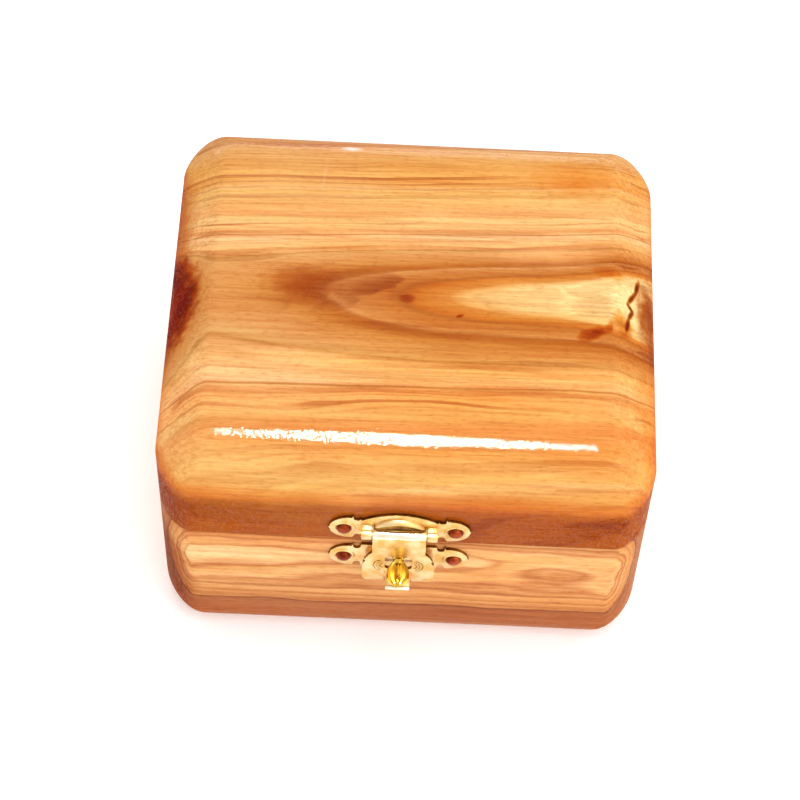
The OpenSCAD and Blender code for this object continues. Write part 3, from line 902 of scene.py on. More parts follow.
@dataclass
class WoodBlocks:
    """The base and the lid, each milled from one block.

    The fields with values are lengths in millimetres, an angle in degrees (edge_turn), exponents
    of the rounded outlines (power) and counts of rings (steps).

    Args:
        sizes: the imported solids' sizes.
    """

    sizes: Sizes
    corner_x: float = 5.8
    corner_y: float = 8.5
    corner_power: float = 1.55
    seam_bevel: float = 0.3
    band_h: float = 6.6
    side_run: float = 7.2
    front_run: float = 9.2
    front_break: float = 24.0
    side_bulge: float = 1.15
    side_soft: float = 1.3
    top_corner: float = 3.0
    crease_soft: float = 1.0
    foot_inset: float = 1.9
    foot_h: float = 5.5
    foot_power: float = 1.8
    wall: float = 9.0
    floor_t: float = 6.6
    lid_hollow: float = 11.4
    cutter_r: float = 6.0
    edge_soft: float = 0.22
    edge_turn: float = 14.0
    hollow_edge: float = 0.5
    hollow_cove: float = 1.2
    hinge_l: float = 16.3
    leaf_w: float = 6.45
    mortise_t: float = 0.8
    cut_past: float = 4.0
    corner_steps: int = 14
    band_steps: int = 22
    foot_steps: int = 10

    def ring(self, half: Pair, corner: Pair, power: float, z: float) -> list[Point]:
        """One closed outline of a block's plan.

        Args:
            half: half sizes in X and Y.
            corner: corner cuts along X and Y.
            power: 1 for flat corners and 2 for elliptical ones.
            z: its height.

        Returns:
            Its points in order.
        """
        quarter = []
        for k in range(self.corner_steps + 1):
            a = math.pi / 2 * k / self.corner_steps
            quarter.append((
                half[0] - corner[0] + corner[0] * max(math.cos(a), 0) ** (2 / power),
                half[1] - corner[1] + corner[1] * max(math.sin(a), 0) ** (2 / power),
            ))
        back = quarter[::-1]
        return (
            [(x, y, z) for x, y in quarter] + [(-x, y, z) for x, y in back]
            + [(-x, -y, z) for x, y in quarter] + [(x, -y, z) for x, y in back]
        )

    def wall_ring(self, inset: float, z: float) -> list[Point]:
        """The plan at the walls, drawn in by an inset."""
        s = self.sizes
        half = (s.half_w - inset, s.half_d - inset)
        return self.ring(half, (self.corner_x, self.corner_y), self.corner_power, z)

    def hollow_ring(self, inset: float, z: float) -> list[Point]:
        """The plan of a hollow, drawn in by an inset."""
        s = self.sizes
        r = self.cutter_r - inset
        half = (s.half_w - self.wall - inset, s.half_d - self.wall - inset)
        return self.ring(half, (r, r), 2.0, z)

    def band_plan(self, share: float) -> Vector:
        """Sizes of the lid's bevelled band, at a share of its way from the wall to the top.

        Args:
            share: 0 at the wall and 1 at the top.

        Returns:
            The plan's half sizes in X and Y, its corner cuts along X and Y, and its height.
        """
        s = self.sizes
        start = math.radians(self.front_break)
        a = start + (math.pi / 2 - start) * share
        v = max((math.sin(a) - math.sin(start)) / (1 - math.sin(start)), 0)
        in_x = self.side_run * v ** self.side_bulge
        soft_from = (1 - self.side_soft / self.side_run) ** (1 / self.side_bulge)
        if v > soft_from:
            in_x = self.side_run + self.side_soft * (1 - 2 * math.sqrt(max((1 - v) / (1 - soft_from), 0)))
        in_y = self.front_run * (math.cos(start) - math.cos(a)) / math.cos(start)
        left = 1 - v
        corner = [self.top_corner + (c - self.top_corner) * left for c in (self.corner_x, self.corner_y)]
        return Vector((s.half_w - in_x, s.half_d - in_y, corner[0], corner[1], s.top - self.band_h * left))

    def band_rings(self) -> list[list[Point]]:
        """The rings of the band from the top down to the wall, with its lower edge sanded soft."""
        steps = self.band_steps
        crisp_from = self.sizes.top - self.band_h + self.crease_soft
        first = next(k for k in range(steps) if self.band_plan(k / steps)[4] > crisp_from)
        plans = [self.band_plan(1 - k / steps) for k in range(steps - first + 1)]
        above, edge = plans[-1], self.band_plan(0)
        below = edge - Vector((0, 0, 0, 0, self.crease_soft))
        for k in range(1, 7):
            u = k / 6
            plans.append(above * (1 - u) ** 2 + edge * 2 * u * (1 - u) + below * u ** 2)
        return [self.ring((p[0], p[1]), (p[2], p[3]), self.corner_power, p[4]) for p in plans]

    def hollow_rings(self, seam: float, end: float) -> list[list[Point]]:
        """The hollow's wall from the seam to its flat end, with a rounded mouth and a cove at the end."""
        way = 1 if end > seam else -1
        angles = (0, math.pi / 6, math.pi / 3, math.pi / 2)
        edge, cove_r = self.hollow_edge, self.hollow_cove
        mouth = [(-edge * (1 - math.sin(a)), edge * (1 - math.cos(a))) for a in angles]
        cove = [(cove_r * (1 - math.cos(a)), cove_r * (1 - math.sin(a))) for a in angles]
        return [self.hollow_ring(i, seam + way * d) for i, d in mouth] + \
            [self.hollow_ring(i, end - way * d) for i, d in cove]

    def block(self, name: str, outer: list[list[Point]], end: float,
              materials: list[Material]) -> bpy.types.Object:
        """Builds one block with its hollow and hinge recesses.

        Args:
            name: the piece's name.
            outer: the outside's rings, ending at the seam.
            end: height of the hollow's flat end.
            materials: the varnished and the bare finish.

        Returns:
            The block.
        """
        s = self.sizes
        inner = self.hollow_rings(s.seam, end)
        bm = bmesh.new()
        add_skin(bm, outer + inner, [0] * len(outer) + [1] * len(inner))
        bevel_edges(bm, self.edge_soft, self.edge_turn, 3)
        made = object_from(name, bm, materials)
        cutters = []
        for side in (-1, 1):
            part = bmesh.new()
            bmesh.ops.create_cube(part, size=1)
            size = (self.hinge_l, self.leaf_w + self.cut_past, 2 * self.mortise_t)
            bmesh.ops.scale(part, vec=size, verts=part.verts)
            place = (side * s.hinge_x, s.half_d + (self.cut_past - self.leaf_w) / 2, s.seam)
            bmesh.ops.translate(part, vec=place, verts=part.verts)
            cutters.append(object_from("cutter", part, materials[1:]))
        for cutter in cutters:
            step = made.modifiers.new("recess", "BOOLEAN")
            step.object = cutter
            step.solver = "EXACT"
            step.material_mode = "TRANSFER"
        bpy.context.view_layer.update()
        cut = bpy.data.meshes.new_from_object(made.evaluated_get(bpy.context.evaluated_depsgraph_get()))
        made.modifiers.clear()
        cut.set_sharp_from_angle(angle=math.radians(CRISP))
        made.data = cut
        for cutter in cutters:
            bpy.data.objects.remove(cutter)
        return made

    def build_base(self, materials: list[Material]) -> bpy.types.Object:
        """Builds the lower block."""
        s = self.sizes
        shares = [k / self.foot_steps for k in range(self.foot_steps + 1)]
        insets = [self.foot_inset * (1 - t) ** self.foot_power for t in shares]
        foot = [self.wall_ring(inset, self.foot_h * t) for inset, t in zip(insets, shares)]
        seam = [self.wall_ring(0, s.seam - self.seam_bevel), self.wall_ring(self.seam_bevel, s.seam)]
        outer = foot + seam
        return self.block("varnished_base", outer, self.floor_t, materials)

    def build_lid(self, materials: list[Material]) -> bpy.types.Object:
        """Builds the upper block."""
        s = self.sizes
        seam = [self.wall_ring(0, s.seam + self.seam_bevel), self.wall_ring(self.seam_bevel, s.seam)]
        outer = self.band_rings() + seam
        return self.block("varnished_lid", outer, s.seam + self.lid_hollow, materials)


@dataclass
class Hasp:
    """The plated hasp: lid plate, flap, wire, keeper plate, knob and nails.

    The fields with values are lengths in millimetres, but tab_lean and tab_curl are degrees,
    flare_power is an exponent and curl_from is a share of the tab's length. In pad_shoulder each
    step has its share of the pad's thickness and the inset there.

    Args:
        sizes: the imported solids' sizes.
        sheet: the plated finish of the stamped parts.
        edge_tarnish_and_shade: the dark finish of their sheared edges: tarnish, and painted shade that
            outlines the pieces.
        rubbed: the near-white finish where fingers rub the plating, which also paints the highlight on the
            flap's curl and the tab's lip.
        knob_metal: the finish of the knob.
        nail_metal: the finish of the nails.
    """

    sizes: Sizes
    sheet: Material
    edge_tarnish_and_shade: Material
    rubbed: Material
    knob_metal: Material
    nail_metal: Material
    sheet_t: float = 0.6
    ear_nail_x: float = 9.4
    ear_tip_x: float = 12.0
    ear_half_h: float = 3.1
    ear_cusp_h: float = 3.8
    leaf_mid: float = 0.9
    leaf_from: float = 1.4
    leaf_to: float = 0.35
    tip_r: float = 0.3
    cusp_in: float = 0.15
    plate_half_w: float = 6.4
    lid_ear_up: float = 4.7
    keeper_ear_down: float = 4.5
    notch_r: float = 0.6
    notch_out: float = 0.75
    notch_low: float = 2.5
    notch_high: float = 3.0
    arch_up: float = 4.2
    arch_r: float = 10.8
    plate_low: float = 3.5
    keeper_top: float = 0.8
    keeper_foot: float = 8.2
    pad_top: float = 0.5
    pad_half_w: float = 3.2
    pad_corner_r: float = 0.8
    pad_shoulder: tuple[Pair, ...] = ((0.0, 0.0), (0.55, 0.02), (0.85, 0.15), (1.0, 0.45))
    hood_half_w: float = 4.4
    hood_rise: float = 1.0
    hood_out: float = 1.2
    hood_droop: float = 1.7
    hood_sheet: float = 0.45
    window_up: float = 2.1
    knuckle_gap: float = 0.15
    strap_z: Pair = (-0.15, 1.1)
    curl_r: float = 0.9
    wire_r: float = 0.4
    flap_top_w: float = 9.0
    flap_foot_w: float = 12.3
    flap_l: float = 13.8
    flap_straight: float = 4.6
    flare_power: float = 3.6
    flap_foot_h: float = 2.2
    flap_corner_r: float = 1.2
    scallop_down: float = 7.4
    scallop_r: float = 0.6
    tab_w: float = 4.2
    tab_l: float = 3.5
    tab_from: float = 10.5
    tab_bend: float = 1.2
    tab_lean: float = 20.0
    tab_curl: float = 46.0
    curl_from: float = 0.6
    lip_r: float = 0.4
    pass_gap: float = 0.3
    slot_top: float = 5.8
    slot_bottom: float = 9.8
    slot_half_w: float = 2.3
    slot_r: float = 0.8
    fan_down: float = 8.6
    fan_arcs: Point = (0.75, 1.3, 1.85)
    bead_r: float = 0.07
    blade_w: float = 4.0
    blade_root: float = 1.1
    blade_half_t: float = 0.3
    blade_blunt: float = 0.5
    rim_h: float = 0.17
    rim_in: float = 0.3
    rim_w: float = 0.22
    ridge_h: float = 0.34
    ridge_w: float = 0.3
    ridge_end: float = 1.6
    knob_out: float = 4.8
    nail_head_r: float = 1.3
    nail_head_h: float = 0.95

    def front(self) -> float:
        """Depth of the wood's front face."""
        return -self.sizes.half_d

    def flap_front(self) -> float:
        """Depth of the flap's front face."""
        return self.sizes.flap_axis[0] - self.curl_r

    def leaf_h(self, x: float) -> float:
        """Half height of an ear's leaf at a distance from the hasp's middle."""
        mid = self.ear_nail_x - self.leaf_mid
        half = self.ear_tip_x - mid
        r = (half ** 2 + self.ear_half_h ** 2) / (2 * self.ear_half_h)
        return math.sqrt(r ** 2 - (x - mid) ** 2) + self.ear_half_h - r

    def ear_outline(self) -> Outline:
        """Outline of the right ear about its nail, from its lower inner corner round the tip."""
        inner = self.ear_nail_x - self.leaf_from
        outer = self.ear_tip_x - self.leaf_to
        xs = [inner + (outer - inner) * k / 14 for k in range(15)]
        notch_x = self.plate_half_w + self.notch_out
        low = [(x, -z) for x, z in arc((notch_x, self.notch_low), self.notch_r, 180, 360, 8)]
        high = arc((notch_x, self.notch_high), self.notch_r, 360, 180, 8)
        tip = arc((self.ear_tip_x - self.tip_r, 0), self.tip_r, -60, 60, 4)
        return (low + [(x, -self.leaf_h(x)) for x in xs] + tip + [(x, self.leaf_h(x)) for x in reversed(xs)]
                + [(inner - self.cusp_in, self.ear_cusp_h)] + high)

    def placed(self, points: Outline, z: float) -> Outline:
        """Moves an outline drawn about the hasp's middle to its place."""
        return [(x + self.sizes.hasp_x, v + z) for x, v in points]

    def add_eyelets(self, bm: Mesh, z: float) -> None:
        """Adds the raised, dished ring round each nail hole."""
        profile = [(1.36, 0.0), (1.38, 0.1), (1.5, 0.2), (1.68, 0.17), (1.9, 0.05), (2.05, -0.05),
                   (1.36, -0.05), (1.36, 0.0)]
        for side in (-1, 1):
            turn = out_of_front(self.sizes.hasp_x + side * self.ear_nail_x, z, self.front() - self.sheet_t)
            add_lathe(bm, profile, turn)

    def hand_in_stamped(self, name: str, bm: Mesh, body: Body, node: str) -> None:
        """Hands in a stamped piece with its plated faces, its sheared edges darkened by tarnish and painted
        shade, and its rubbed bright places that carry a painted highlight.
        """
        hand_in(name, bm, [self.sheet, self.edge_tarnish_and_shade, self.rubbed], body, node)

    def build_lid_plate(self) -> None:
        """Builds the upper plate with its hood and knuckles."""
        s = self.sizes
        z = s.flap_axis[1]
        ear_z = s.seam + self.lid_ear_up
        half = self.ear_outline()
        shift = ear_z - z
        chord = math.degrees(math.asin(self.plate_half_w / self.arch_r))
        top = arc((0, self.arch_up - self.arch_r), self.arch_r, 90 - chord, 90 + chord, 24)
        right = [(self.plate_half_w, -self.plate_low)] + [(x, v + shift) for x, v in half]
        outline = right + top + mirrored(right, 0)
        bm = bmesh.new()
        add_sheet(bm, self.placed(outline, z), [], self.front(), self.front() - self.sheet_t)
        self.add_eyelets(bm, ear_z)
        self.add_hood(bm, z)
        self.add_knuckles(bm)
        self.hand_in_stamped("stamped_lid_plate", bm, Body.LID, "hasp_lid_plate")

    def add_hood(self, bm: Mesh, z: float) -> None:
        """Adds the arched hood over the curl, a drawn shell that is open below.

        Args:
            bm: the mesh to add to.
            z: height of the flap's axis.
        """
        half = self.hood_half_w
        columns, rows = 28, 8
        start = self.front() - self.sheet_t
        part = bmesh.new()
        grids = []
        for inset in (0.0, self.hood_sheet):
            grid = []
            for i in range(columns + 1):
                x = (half - inset * 0.6) * (2 * i / columns - 1)
                shape = (1 - abs(x / half) ** 3) ** 0.5
                rise = math.sqrt(self.arch_r ** 2 - x ** 2) - self.arch_r
                low = z + self.window_up + rise * self.hood_droop
                high = low + self.hood_rise * shape + 0.15 - inset * 0.8
                out = (self.hood_out * (0.35 + 0.65 * shape)) - inset
                column = []
                for j in range(rows + 1):
                    t = j / rows
                    column.append(part.verts.new((
                        x + self.sizes.hasp_x,
                        start - out * math.sin(t * math.pi / 2) ** 0.8,
                        high - (high - low) * (1 - math.cos(t * math.pi / 2)),
                    )))
                grid.append(column)
            grids.append(grid)
        outer, inner = grids
        for i in range(columns):
            for j in range(rows):
                face = part.faces.new((outer[i][j], outer[i + 1][j], outer[i + 1][j + 1], outer[i][j + 1]))
                # The hood's lowest rows take the dark finish: painted shade under its lip
                face.material_index = 1 if j >= rows - 3 else 0
                part.faces.new((inner[i][j + 1], inner[i + 1][j + 1], inner[i + 1][j], inner[i][j]))
            part.faces.new((outer[i][rows], outer[i + 1][rows], inner[i + 1][rows], inner[i][rows]))
            part.faces.new((inner[i][0], inner[i + 1][0], outer[i + 1][0], outer[i][0]))
        for end in (0, columns):
            for j in range(rows):
                part.faces.new((outer[end][j], outer[end][j + 1], inner[end][j + 1], inner[end][j]))
        bmesh.ops.recalc_face_normals(part, faces=part.faces)
        bevel_edges(part, 0.08, FOLD)
        append(bm, part)

    def curl_section(self, strap_to: float, strap_z: Pair) -> Outline:
        """Section of a knuckle rolled round the wire, with its strap back to the plate.

        Args:
            strap_to: depth that the strap reaches.
            strap_z: the strap's lower and upper height above the axis.

        Returns:
            The section's points.
        """
        y, z = self.sizes.flap_axis
        ring = arc((y, z), self.curl_r, 60, 345, 26)
        return [(strap_to, z + strap_z[1])] + ring + [(strap_to, z + strap_z[0])]

    def add_knuckles(self, bm: Mesh) -> None:
        """Adds the plate's two rolled knuckles beside the flap's curl."""
        inner = self.flap_top_w / 2 + self.knuckle_gap
        section = self.curl_section(self.front() - self.sheet_t / 2, self.strap_z)
        for side in (-1, 1):
            ends = sorted((side * inner, side * self.plate_half_w))
            add_bar(bm, section, ends[0] + self.sizes.hasp_x, ends[1] + self.sizes.hasp_x, 0.12)

    def flap_side(self, v: float) -> float:
        """Half width of the flap at a depth below its axis."""
        f = min((v - self.flap_straight) / (self.flap_l - self.flap_foot_h - self.flap_straight), 1)
        flare = (self.flap_foot_w - self.flap_top_w) / 2
        return self.flap_top_w / 2 + flare * (1 - (1 - f) ** self.flare_power)

    def flap_outline(self) -> Outline:
        """The flap's outline about its axis, with the notch for the finger tab."""
        foot = self.flap_l - self.flap_foot_h
        side = [(self.flap_top_w / 2, 0.2)]
        flare = self.scallop_down - self.scallop_r - self.flap_straight
        flared = [self.flap_straight + flare * k / 6 for k in range(7)]
        side += [(self.flap_side(v), -v) for v in flared]
        scallop_x = self.flap_side(self.scallop_down) + 0.6 * self.scallop_r
        side += arc((scallop_x, -self.scallop_down), self.scallop_r, 135, 230, 6)
        below = self.scallop_down + self.scallop_r
        straight = [below + (foot - below) * k / 8 for k in range(9)]
        side += [(self.flap_side(v), -v) for v in straight]
        r = self.flap_corner_r
        side += arc((self.flap_foot_w / 2 - r, r - self.flap_l), r, 0, -90, 8)
        notch = self.tab_w / 2 + self.pass_gap
        side += [(notch, -self.flap_l), (notch, -self.tab_from)]
        return mirrored(side, 0) + side

    def build_flap(self) -> None:
        """Builds the hanging flap with its curl, slot, finger tab and stamped fans."""
        s = self.sizes
        y, z = s.flap_axis
        front = self.flap_front()
        back = front + self.sheet_t
        slot = rounded(self.slot_half_w, -self.slot_bottom, -self.slot_top, self.slot_r, 6)
        bm = bmesh.new()
        add_sheet(bm, self.placed(self.flap_outline(), z), [self.placed(slot, z)], back, front)
        roll = arc((y, z), self.curl_r, 180, -95, 30) + arc((y, z), self.wire_r + 0.05, -95, 150, 24)
        roll += [(back, z + 0.25), (back, z - 0.3), (front + 0.2, z - 0.3)]
        half = self.flap_top_w / 2
        # The curl takes the rubbed finish: wear, and a painted highlight along the roll
        add_bar(bm, roll, s.hasp_x - half, s.hasp_x + half, 0.06, 2)
        self.add_tab(bm, front)
        self.add_fans(bm, front, z)
        self.hand_in_stamped("stamped_flap", bm, Body.FLAP, "hasp_flap")

    def add_tab(self, bm: Mesh, front: float) -> None:
        """Adds the finger tab, bent out of the strip under the slot in a soft curve."""
        s = self.sizes
        z = s.flap_axis[1] - self.tab_from
        lean = math.radians(self.tab_lean)
        outer, inner = [], []
        spot = (front, z + 0.15)
        curl = math.radians(self.tab_curl)
        for k in range(9):
            d = self.tab_l * k / 8
            past = max(0.0, d / self.tab_l - self.curl_from) / (1 - self.curl_from)
            a = lean * min(1.0, d / self.tab_bend) + curl * past
            step = self.tab_l / 8 if k else 0.0
            spot = (spot[0] - math.sin(a) * step, spot[1] - math.cos(a) * step)
            outer.append(spot)
            inner.append((spot[0] + self.sheet_t * math.cos(a), spot[1] - self.sheet_t * math.sin(a)))
        outer.insert(0, (front, z + 0.35))
        inner.insert(0, (front + self.sheet_t, z + 0.35))
        ends = (s.hasp_x - self.tab_w / 2, s.hasp_x + self.tab_w / 2)
        add_bar(bm, outer + inner[::-1], *ends, 0.1)
        end = ((outer[-1][0] + inner[-1][0]) / 2, (outer[-1][1] + inner[-1][1]) / 2 + 0.05)
        # The lip takes the rubbed finish: wear, and a painted highlight on the rim
        add_bar(bm, arc(end, self.lip_r, 0, 345, 15), *ends, 0.08, 2)

    def add_fans(self, bm: Mesh, front: float, z: float) -> None:
        """Adds the plain fans of raised strokes that are stamped on each side of the slot.

        Args:
            bm: the mesh to add to.
            front: depth of the flap's face.
            z: height of the flap's axis.
        """
        root = (self.slot_half_w + 0.1, z - self.fan_down)
        for side in (-1, 1):
            for r in self.fan_arcs:
                bend = [(side * (root[0] + r * math.cos(a)), root[1] + r * math.sin(a))
                        for a in (math.radians(-70 + 14 * k) for k in range(11))]
                add_bead(bm, [(x + self.sizes.hasp_x, front, v) for x, v in bend], self.bead_r)
            for k in range(9):
                a = math.radians(-62 + 18 * k)
                reach = 1.25 + 0.35 * math.cos(a)
                mid_r = 0.55 + reach / 2
                x = self.sizes.hasp_x + side * (root[0] + mid_r * math.cos(a))
                centre = (x, front, root[1] + mid_r * math.sin(a))
                turn = Matrix.Translation(centre) @ Matrix.Rotation(-a if side > 0 else a + math.pi, 4, "Y")
                stroke = turn @ Matrix.Diagonal((reach / 2, 0.09, 0.11, 1))
                part = bmesh.new()
                bmesh.ops.create_uvsphere(part, u_segments=12, v_segments=6, radius=1)
                bmesh.ops.transform(part, matrix=stroke, verts=part.verts)
                append(bm, part)

    def build_wire(self) -> None:
        """Builds the wire that the flap turns on, with nipped ends."""
        s = self.sizes
        half = self.plate_half_w
        nipped = ((0, 0.22), (0.3, 0.2), (0.5, 0.08), (0.5, 0.0), (self.wire_r, 0.0))
        profile = [(r, -half - past) for r, past in nipped]
        profile += [(r, -p) for r, p in reversed(profile)]
        bm = bmesh.new()
        add_lathe(bm, profile, along_x(s.hasp_x, *s.flap_axis), 20)
        hand_in("hasp_wire", bm, [self.knob_metal], Body.LID, "hasp_flap_pin")

    def build_keeper(self) -> None:
        """Builds the lower plate with its pressed pad."""
        s = self.sizes
        ear_z = s.seam - self.keeper_ear_down
        half = self.ear_outline()
        low, high = -self.keeper_foot + self.keeper_ear_down, self.keeper_ear_down - self.keeper_top
        right = [(self.plate_half_w, low)] + half + [(self.plate_half_w, high)]
        outline = right + mirrored(right, 0)
        bm = bmesh.new()
        add_sheet(bm, self.placed(outline, ear_z), [], self.front(), self.front() - self.sheet_t)
        self.add_eyelets(bm, ear_z)
        self.add_pad(bm)
        self.hand_in_stamped("stamped_keeper_plate", bm, Body.BASE, "hasp_keeper_plate")

    def add_pad(self, bm: Mesh) -> None:
        """Adds the keeper's raised pad with rolled shoulders."""
        s = self.sizes
        start = self.front() - self.sheet_t * 0.6
        face = self.flap_front() + self.sheet_t + self.pass_gap
        top, bottom = s.seam - self.pad_top, 2 * s.knob_z - s.seam
        rings = []
        for share, inset in self.pad_shoulder:
            y = start + (face - start) * share
            ring = rounded(self.pad_half_w - inset, bottom + inset, top - inset, self.pad_corner_r, 5)
            rings.append([(x + s.hasp_x, y, z) for x, z in ring])
        part = bmesh.new()
        add_skin(part, rings)
        bmesh.ops.recalc_face_normals(part, faces=part.faces)
        append(bm, part)

    def build_knob(self) -> None:
        """Builds the turn knob: a ridged blade with a beaded rim on a collar."""
        s = self.sizes
        collar = self.flap_front() - self.pass_gap
        pad = self.flap_front() + self.sheet_t + self.pass_gap
        tip = self.flap_front() - self.knob_out
        r = self.blade_w / 2
        length = collar - tip
        bm = bmesh.new()
        rows, columns = 30, 24
        rings = []
        for k in range(rows + 1):
            t = k / rows
            d = length * (0.5 - 0.5 * math.cos(math.pi * t))
            from_tip = length - d
            if from_tip < r:
                half = math.sqrt(max(r ** 2 - (r - from_tip) ** 2, 0.0))
            else:
                root = self.blade_root
                half = root + (r - root) * math.sin(math.pi / 2 * min(d / (length - r), 1)) ** 0.8
            half = max(half, 0.12)
            blunt = min(from_tip / self.blade_blunt, 1) ** 0.5
            ridge_fade = min(from_tip / self.ridge_end, 1)
            upper = []
            for i in range(columns + 1):
                u = 2 * i / columns - 1
                x = half * u
                off_rim = half * (1 - abs(u)) - self.rim_in
                rim = math.exp(-(off_rim / self.rim_w) ** 2) * min(half / 1.2, 1)
                ridge = math.exp(-(x / self.ridge_w) ** 2)
                full = self.blade_half_t + self.rim_h * rim + self.ridge_h * ridge * ridge_fade
                upper.append((x, max(full * blunt * (1 - abs(u) ** 8) ** 0.5, 0.02)))
            section = upper + [(x, -h) for x, h in reversed(upper)]
            rings.append([(x + s.hasp_x, collar - d, h + s.knob_z) for x, h in section])
        part = bmesh.new()
        add_skin(part, rings)
        bmesh.ops.recalc_face_normals(part, faces=part.faces)
        append(bm, part)
        beads = [(0, -0.5), (0.6, -0.5), (0.6, 0.0), (0.86, 0.06), (1.0, 0.25), (0.9, 0.45), (0.74, 0.55),
                 (0.8, 0.7), (0.96, 0.9), (0.9, 1.12), (0.7, 1.3), (0.55, 1.5), (0, 1.7)]
        reach = (pad - collar) / 1.2
        add_lathe(bm, [(radius, p * reach) for radius, p in beads], out_of_front(s.hasp_x, s.knob_z, pad))
        hand_in("turn_knob_blade", bm, [self.knob_metal], Body.KNOB, "turn_knob")

    def build_nails(self) -> None:
        """Builds the four domed nails."""
        s = self.sizes
        upper = (Body.LID, s.seam + self.lid_ear_up, "upper")
        lower = (Body.BASE, s.seam - self.keeper_ear_down, "lower")
        shank = [(0, -8.0), (0.12, -7.9), (0.55, -7.0), (0.55, -0.05), (self.nail_head_r, -0.02)]
        profile = shank + dome(self.nail_head_r, self.nail_head_h, 8)
        for body, z, row in (upper, lower):
            for side, word in ((-1, "left"), (1, "right")):
                bm = bmesh.new()
                turn = out_of_front(s.hasp_x + side * self.ear_nail_x, z, self.front() - self.sheet_t)
                add_lathe(bm, profile, turn, 24)
                node = f"nail_{row}_{word}"
                hand_in(f"domed_{node}", bm, [self.nail_metal], body, node)

    def build(self) -> None:
        """Builds the whole hasp."""
        self.build_lid_plate()
        self.build_flap()
        self.build_wire()
        self.build_keeper()
        self.build_knob()
        self.build_nails()


@dataclass
class Hinges:
    """The two butt hinges let into the back of the seam.

    Args:
        sizes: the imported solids' sizes.
        brass: the finish of the leaves.
        wire: the finish of the pins and nails.
    """

    sizes: Sizes
    brass: Material
    wire: Material
    length: float = 16.0
    leaf_w: float = 6.3
    leaf_t: float = 0.7
    mortise_t: float = 0.8
    barrel_r: float = 1.05
    barrel_soft: float = 0.1
    bore_r: float = 0.54
    pin_r: float = 0.5
    pin_head_r: float = 0.8
    pin_head_h: float = 0.48
    knuckles: int = 5
    gap: float = 0.15
    nail_pitch: float = 9.0
    nail_head_r: float = 1.0

    def build_leaf(self, side: int, word: str, way: int) -> None:
        """Builds one leaf with its knuckles.

        Args:
            side: -1 for the left hinge and 1 for the right one.
            word: left or right.
            way: 1 for the base's leaf and -1 for the lid's.
        """
        s = self.sizes
        bm = bmesh.new()
        x0 = side * s.hinge_x - self.length / 2
        low = s.seam - way * self.mortise_t
        high = s.seam - way * (self.mortise_t - self.leaf_t)
        front = s.half_d - self.leaf_w
        plate = [(front, low), (s.half_d, low), (s.half_d, high), (front, high)]
        add_bar(bm, plate, x0, x0 + self.length, 0.08)
        long = (self.length - (self.knuckles - 1) * self.gap) / self.knuckles
        for k in range(0 if way > 0 else 1, self.knuckles, 2):
            start = x0 + k * (long + self.gap)
            near, far = s.half_d - 0.4, s.hinge_axis_y - 0.3
            add_bar(bm, [(near, low), (far, low), (far, high), (near, high)], start, start + long, 0.04)
            bore, r, soft = self.bore_r, self.barrel_r, self.barrel_soft
            profile = [(bore, 0.0), (r - soft, 0.0), (r, soft), (r, long - soft), (r - soft, long),
                       (bore, long), (bore, 0.0)]
            add_lathe(bm, profile, along_x(start, s.hinge_axis_y, s.seam), 28)
        part = "base" if way > 0 else "lid"
        body = Body.BASE if way > 0 else Body.LID
        hinge = f"hinge_{word}_{part}"
        hand_in(f"{hinge}_plate", bm, [self.brass], body, f"{hinge}_leaf")
        r = self.nail_head_r
        for out, place in ((1, "outer"), (-1, "inner")):
            x = side * (s.hinge_x + out * self.nail_pitch / 2)
            spot = (x, s.half_d - self.leaf_w / 2, high)
            turn = Matrix.Translation(spot) @ Matrix.Diagonal((1, 1, way, 1))
            profile = [(0, -5.9), (0.12, -5.8), (0.42, -5.3), (0.42, -0.55), (r - 0.04, -0.05),
                       (r - 0.1, 0.03), (0.45, 0.07), (0, 0.075)]
            nail = bmesh.new()
            add_lathe(nail, profile, turn, 24)
            node = f"{hinge}_nail_{place}"
            hand_in(f"{node}_head", nail, [self.wire], body, node)

    def build_pin(self, side: int, word: str) -> None:
        """Builds one hinge pin with its upset ends."""
        s = self.sizes
        half = self.length / 2
        end = [(self.pin_r, half)] + dome(self.pin_head_r, self.pin_head_h, 6, half)
        profile = [(r, -p) for r, p in reversed(end)] + end
        bm = bmesh.new()
        add_lathe(bm, profile, along_x(side * s.hinge_x, s.hinge_axis_y, s.seam), 20)
        hand_in(f"hinge_{word}_rod", bm, [self.wire], Body.BASE, f"hinge_{word}_pin")

    def build(self) -> None:
        """Builds both hinges."""
        for side, word in ((-1, "left"), (1, "right")):
            self.build_leaf(side, word, 1)
            self.build_leaf(side, word, -1)
            self.build_pin(side, word)


